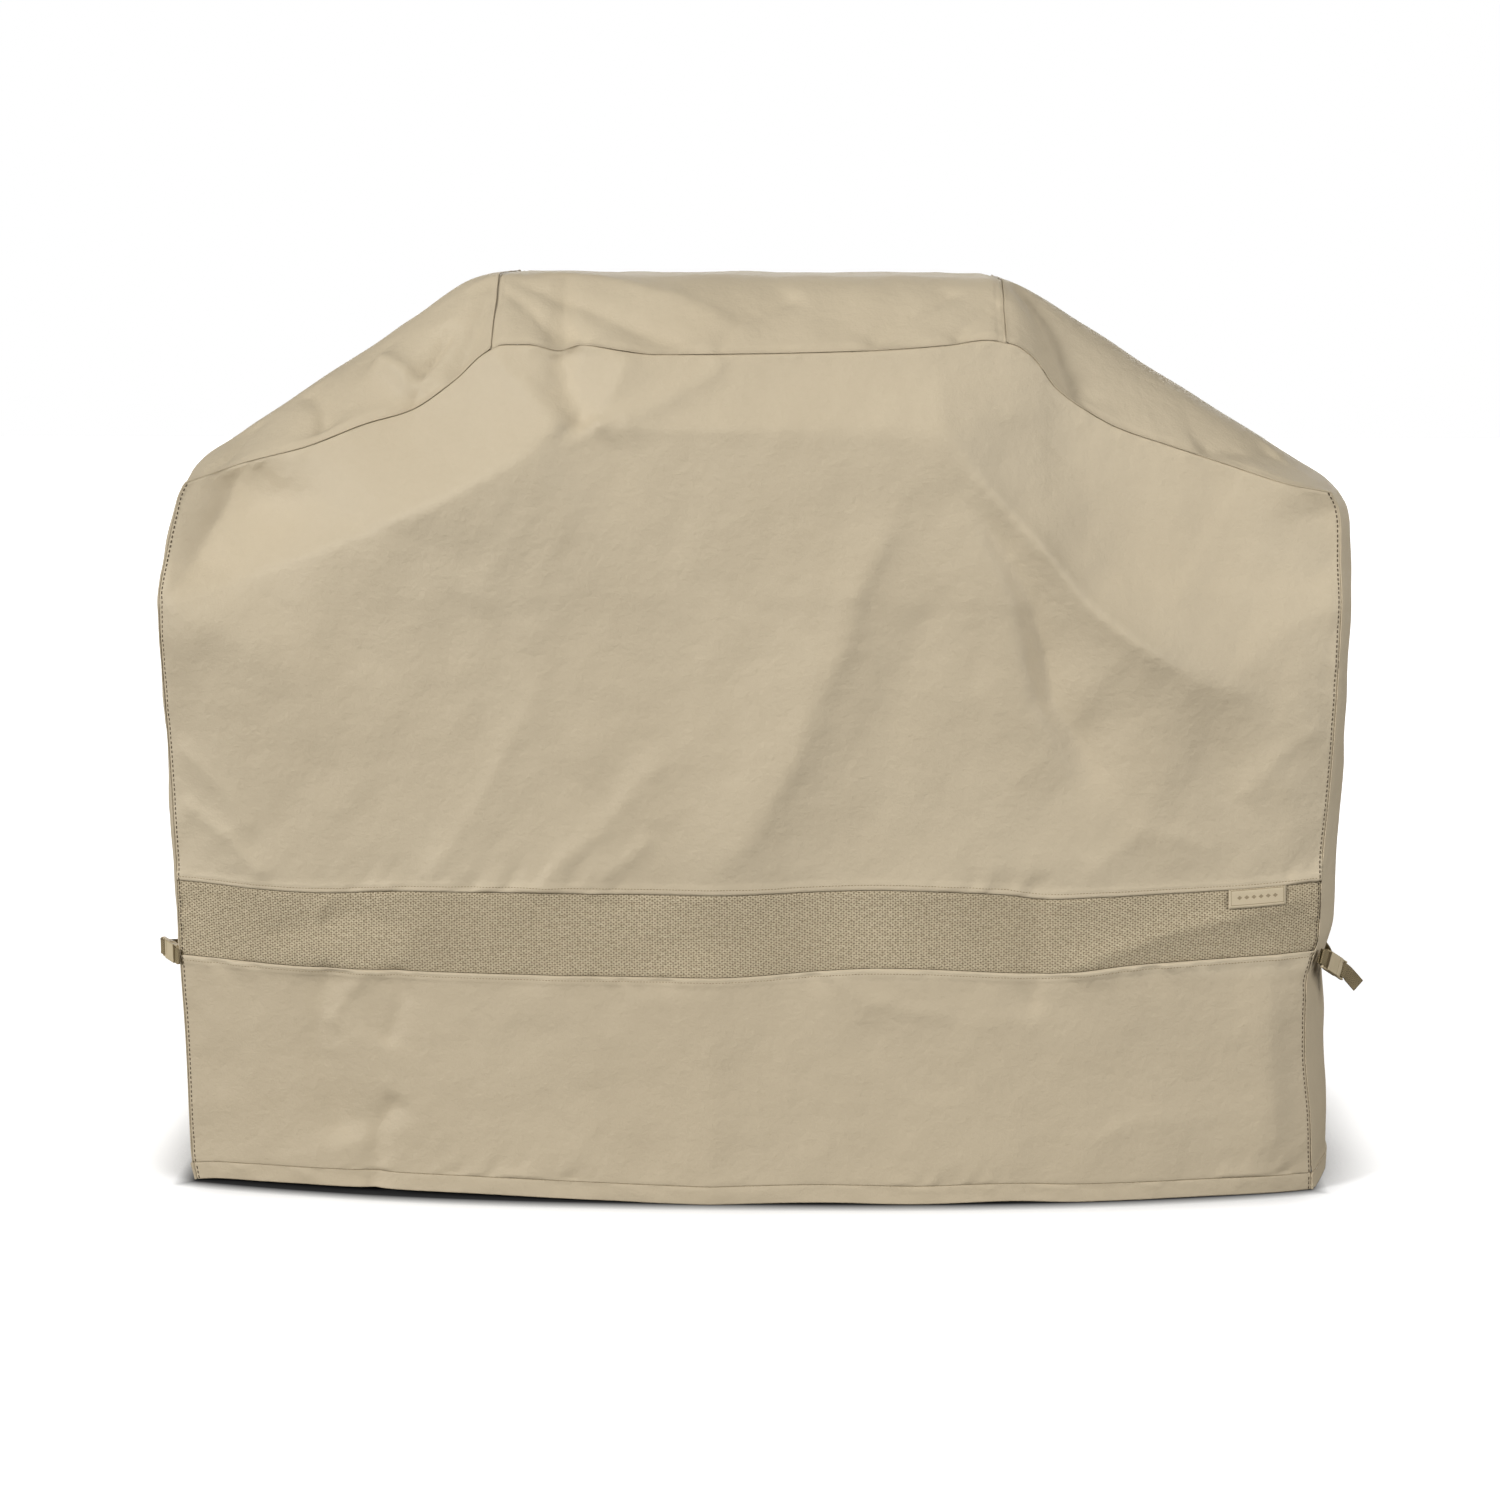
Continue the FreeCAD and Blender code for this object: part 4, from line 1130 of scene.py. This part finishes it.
def show_camera_only(tree, shown, otherwise, target):
    """Link to target one shader for what the camera sees, and another for every other ray."""
    seen = tree.nodes.new("ShaderNodeLightPath")
    either = tree.nodes.new("ShaderNodeMixShader")
    tree.links.new(seen.outputs["Is Camera Ray"], either.inputs[0])
    tree.links.new(otherwise.outputs[0], either.inputs[1])
    tree.links.new(shown.outputs[0], either.inputs[2])
    tree.links.new(either.outputs[0], target)


def add_world():
    """White where the camera looks past the cover, and a faint glow on everything else."""
    world = bpy.data.worlds.new("studio")
    bpy.context.scene.world = world
    world.use_nodes = True
    tree = world.node_tree
    glow = tree.nodes["Background"]
    glow.inputs["Color"].default_value = (1.0, 1.0, 1.0, 1.0)
    glow.inputs["Strength"].default_value = 0.16
    backdrop = tree.nodes.new("ShaderNodeBackground")
    backdrop.inputs["Color"].default_value = (1.0, 1.0, 1.0, 1.0)
    show_camera_only(tree, backdrop, glow, tree.nodes["World Output"].inputs["Surface"])


def floor_material():
    """White and glowing in the open, with a painted shadow: black under the cover and darkened near it."""
    kit = Nodes("floor")
    x, y, _ = kit.split(kit.place())
    _, middle, edge = FRONT_LINE[0]
    bow = (abs(x) * (1 / FOOT_HALF_WIDTH)) ** BULGE_POWER
    reach = middle - bow * (middle - edge)
    # painted shadow: the floor is black inside the cover's footprint and darkened by ambient occlusion
    # beside it
    outside = kit.math("MAXIMUM", abs(y) - reach, abs(x) - FOOT_HALF_WIDTH)
    painted_contact_shadow = kit.add("ShaderNodeAmbientOcclusion", samples=12)
    painted_contact_shadow.inputs["Distance"].default_value = SHADOW_REACH
    near = Value(kit, painted_contact_shadow.outputs["AO"]) ** 1.3
    unshadowed_floor = near * (outside * (1 / SHADOW_EDGE)).clamp(0.0, 1.0)
    kit.set(Base_Color=kit.mix(unshadowed_floor, (0.02, 0.02, 0.02), (0.85, 0.85, 0.85)), Roughness=0.9,
            Emission_Color=(1.0, 1.0, 1.0), Emission_Strength=unshadowed_floor * 0.70)
    bounce = kit.add("ShaderNodeBsdfDiffuse")
    bounce.inputs["Color"].default_value = (0.10, 0.10, 0.10, 1.0)
    show_camera_only(kit.tree, kit.shader, bounce, kit.tree.nodes["Material Output"].inputs["Surface"])
    return kit.material


def add_studio():
    bpy.context.scene.view_settings.view_transform = "Standard"
    add_world()
    add_sun("key", azimuth=-55, elevation=19, spread=15, strength=3.12)
    add_sun("back", azimuth=175, elevation=5, spread=40, strength=1.30)
    add_sun("fill", azimuth=55, elevation=18, spread=40, strength=2.00)
    bpy.ops.mesh.primitive_plane_add(size=FLOOR_SIZE, location=(0, 0, 0))
    floor = bpy.context.object
    floor.name = "floor"
    floor.data.materials.append(floor_material())


def cover_panels(front, back, strip, cloth, mesh_cloth, threads):
    """Every panel of the cover, from its draped walls."""
    side_seam = ("under", 0.0020, 0.022, 0.015)
    mesh_seam = ("under", 0.001, 0.02, 0.05)
    side = {"low_column": side_seam, "high_column": side_seam}
    parts = [
        ("_hem", (0, HEM_ROW), cloth, "cover_fabric",
         {"low_row": None, "high_row": ("hemmed", 0.0016, 0.02, 0.022)}),
        ("_skirt", (HEM_ROW, VENT_LOW_ROW), cloth, "cover_fabric",
         {"low_row": ("hemmed", 0.0026, 0.022, 0.015), "high_row": ("over", 0.0034, 0.024, 0.015)}),
        ("_vent_mesh", (VENT_LOW_ROW, VENT_HIGH_ROW), mesh_cloth, "vent_mesh",
         {"low_row": mesh_seam, "high_row": mesh_seam}),
        ("_panel", (VENT_HIGH_ROW, ROWS - 1), cloth, "cover_fabric",
         {"low_row": ("over", 0.0036, 0.028, 0.016), "high_row": ("under", 0.0018, 0.020, 0.013)}),
    ]
    for name, wall, flip in (("front", front, False), ("back", back, True)):
        for suffix, span, material, slot_name, seams in parts:
            piece = panel(name + suffix + "_cloth", wall, span, (0, COLUMNS - 1), name + suffix, slot_name,
                          {**seams, **side}, threads, flip)
            piece.data.materials.append(material)
            declare_sheet(piece)
    ends = ("under", 0.0010, 0.02, 0.015)
    hem = ("hemmed", 0.001, 0.02, 0.022)
    over_front = ("over", 0.0018, 0.022, 0.014)
    edges = {"low_column": over_front, "high_column": over_front}
    ridge = ("over", 0.0008, 0.02, 0.014)
    last = STATIONS - 1
    strips = [
        ("left_hem", 0, HEM_ROW, None, hem),
        ("left_gusset", HEM_ROW, LEFT_RIDGE, ends, ends),
        ("top_panel", LEFT_RIDGE, RIGHT_RIDGE, ridge, ridge),
        ("right_gusset", RIGHT_RIDGE, last - HEM_ROW, ends, ends),
        ("right_hem", last - HEM_ROW, last, hem, None),
    ]
    for name, first, end, low, high in strips:
        piece = panel(name + "_cloth", strip, (first, end), (0, STRIP_DEPTH_CELLS), name, "cover_fabric",
                      {"low_row": low, "high_row": high, **edges}, threads)
        piece.data.materials.append(cloth)
        declare_sheet(piece)


def declare_sheet(piece):
    """Read a panel's cloth coordinates and the areas of its faces; nothing is done with them."""
    spots = np.zeros(len(piece.data.loops) * 2)
    piece.data.uv_layers["cloth"].data.foreach_get("uv", spots)
    spots = spots.reshape(-1, 2)
    polygons = piece.data.polygons
    areas = np.zeros(len(polygons))
    polygons.foreach_get("area", areas)


def main():
    add_camera()
    add_studio()
    front, back = front_wall(), back_wall()
    strip = strip_wall(front, back)
    front, back, strip = drape_wall(front, 3), drape_wall(back, 5), drape_strip(strip, 7)
    threads = {"light": [], "dark": []}
    cover_panels(front, back, strip, cloth_material(), mesh_material(), threads)
    threads["light"] += woven_label(front, label_material())
    for name, thread in (("seam_stitches", "light"), ("side_stitches", "dark")):
        colours = THREAD_COLOURS[thread]
        stitches(name, threads[thread], STITCHES[thread], thread_material(thread + "_thread", *colours))
    web, plastic = webbing_material(), plastic_material()
    for side in ("left", "right"):
        strap(side, strip, web)
        for part in ("_buckle_socket", "_buckle_plug", "_upper_prong", "_lower_prong"):
            for slot in frame["nodes"][side + part].material_slots:
                slot.material = plastic


main()
